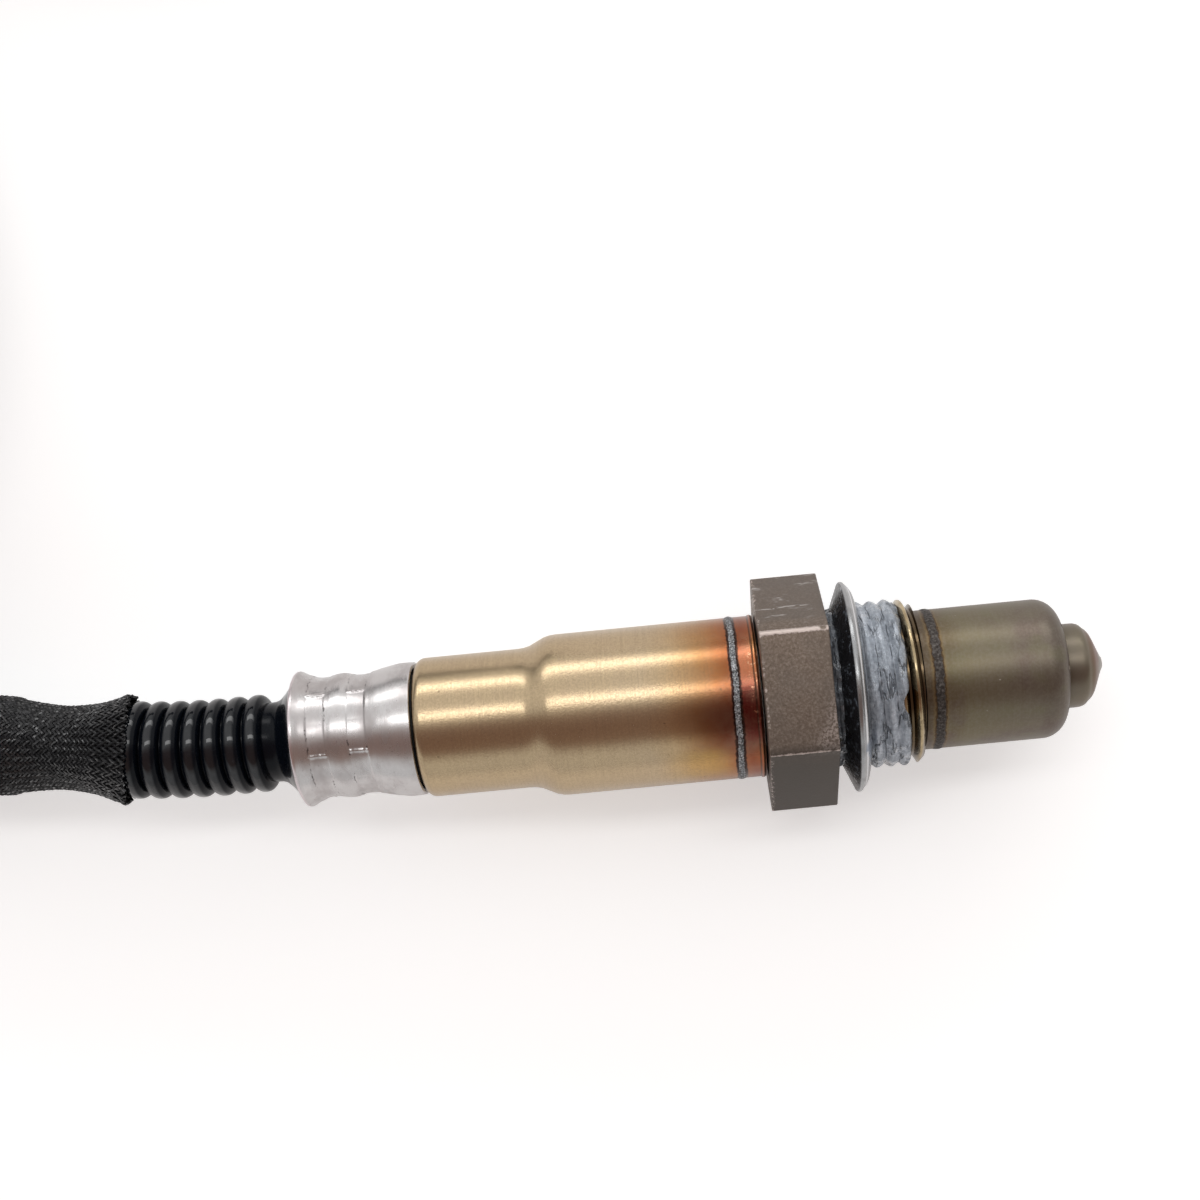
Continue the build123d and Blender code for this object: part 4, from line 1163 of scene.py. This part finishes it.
def bareMetal(name, colour, darker, roughness):
    s = Shader(name)
    s.colour = s.blend(s.grain(2, 3, 0.6).step(0.4, 0.7) * 0.6, colour, darker)
    fine = s.grain(1000, 2, 0.6, s.stretched(300, 3000, 3000))
    return s.finish(Metallic=1.0, Roughness=roughness + fine * 0.12, Normal=s.bump(fine, 0.006))


def ceramic(name, colour, darker, roughness):
    s = Shader(name)
    grain = s.grain(0.4, 4, 0.7)
    s.colour = s.blend(grain.step(0.4, 0.7) * 0.5, colour, darker)
    return s.finish(Roughness=roughness + grain * 0.15, Normal=s.bump(grain, 0.02))


# slot of the record: finish, its name, two colours and the roughness
insideFinishes = {
    "element_ceramic": (ceramic, "elementCeramic", (0.78, 0.77, 0.73), (0.6, 0.58, 0.54), 0.7),
    "bush_ceramic": (ceramic, "bushCeramic", (0.74, 0.72, 0.67), (0.58, 0.55, 0.5), 0.7),
    "seal_powder": (ceramic, "sealPowder", (0.62, 0.6, 0.54), (0.45, 0.43, 0.38), 0.7),
    "contact_steel": (bareMetal, "contactSteel", (0.62, 0.62, 0.62), (0.42, 0.41, 0.4), 0.2),
    "terminal_metal": (bareMetal, "terminalMetal", (0.74, 0.66, 0.46), (0.55, 0.46, 0.3), 0.16),
    "grommet_rubber": (mouldedPlastic, "grommetRubber", (0.03, 0.03, 0.031), (0.055, 0.055, 0.057), 0.5),
    "connector_plastic": (mouldedPlastic, "connectorPlastic", (0.022, 0.022, 0.024), (0.034, 0.034, 0.036), 0.38),
    "mat_rubber": (mouldedPlastic, "matRubber", (0.42, 0.1, 0.055), (0.5, 0.14, 0.08), 0.5),
    "lock_plastic": (mouldedPlastic, "lockPlastic", (0.26, 0.27, 0.29), (0.33, 0.34, 0.36), 0.36),
    "resistor_body": (mouldedPlastic, "resistorBody", (0.07, 0.085, 0.12), (0.11, 0.13, 0.17), 0.55),
}
wireColours = {"wireWhite": (0.6, 0.6, 0.58), "wireGrey": (0.2, 0.2, 0.21), "wireBlack": (0.02, 0.02, 0.022)}
# by the last character of a wire's node
wireFinish = {"1": "wireWhite", "2": "wireWhite", "4": "wireBlack"}


def dressInside(rubber):
    # the record's slot of each carried-over piece picks its finish; the connector's shell gets pieces of its own
    made = {slot: make(*rest) for slot, (make, *rest) in insideFinishes.items()}
    made["boot_rubber"] = rubber
    wires = {name: mouldedPlastic(name, colour, tuple(c * 1.15 for c in colour), 0.36)
             for name, colour in wireColours.items()}
    parts = makeConnector(made["connector_plastic"]) + [makeLockSlide(made["lock_plastic"])]
    for row in frame["record"]["subparts"]:
        node, slot = row["node"], row["material_slot"]
        finish = made.get(slot)
        if slot == "wire_insulation":
            finish = wires[wireFinish.get(node[-1], "wireGrey")]
        if finish:
            frame["nodes"][node].material_slots[0].material = finish
    return parts


def makeLead(rubber):
    line = splineLine(leadPoints(), 8)
    yarns = makeYarns(line, yarnFinish())
    lengths = lengthsAlong(line)
    radii = [(lead["radius"] - lead["thin"] * (1 - smoothStep(*lead["thickens"], s))) * mm for s in lengths]
    nodes = ("cable_lead", "cable_coil", "cable_tail")
    cable = piece("lead", tubeAlong(line, radii, lead["sides"]), sleeveWeave(), nodes)
    first, last = [next(i for i, s in enumerate(lengths) if s > lengths[-1] - beforeEnd) for beforeEnd in lead["wrap"]]
    wrapRadii = [lead["wrapRadius"] * mm] * (last - first)
    wrap = piece("tailWrap", tubeAlong(line[first:last], wrapRadii, lead["sides"]), rubber)
    onLead = dressInside(rubber) + [frame["nodes"][n] for n in (
        "wire_seal", "trim_resistor", "sleeve_end_ring",
        *(f"terminal_{i}" for i in range(1, 7)), *(f"tail_wire_{i}" for i in range(1, 6)))]


makeCamera()
makeFloor()
makeWorld()
makeSoftboxes()
print("studio ready")

makeHexagon(hexagonSteel())
# painted shade: the neck, in the gap between the hexagon and the gasket, gets near-black colours
makeTurned("neck", turnedSteel("neckSteel", (0.02, 0.018, 0.016), (0.06, 0.052, 0.042), 0.3))
makeThread(turnedSteel("threadSteel", (0.28, 0.21, 0.12), (0.55, 0.44, 0.27), 0.17, housing["root"]))
makeTurned("spigot", turnedSteel("turnedSteel", (0.16, 0.13, 0.095), (0.3, 0.24, 0.15), 0.26))
# the neck's paste is a darker copy of it: painted shade
makePaste(assemblyPaste("assemblyPaste", 1, 0.8), assemblyPaste("paintedShadePaste", 0.34, 1.0))
makeGasket(gasketSteel())
makeOuterTube(tubeSteel())
makeNose(noseSteel())
makeSleeve(sleeveSteel())
makeCrimpSleeve(crimpSteel())
rubber = bootRubber()
makeBoot(rubber)
print("sensor ready")

makeLead(rubber)
print("lead ready")
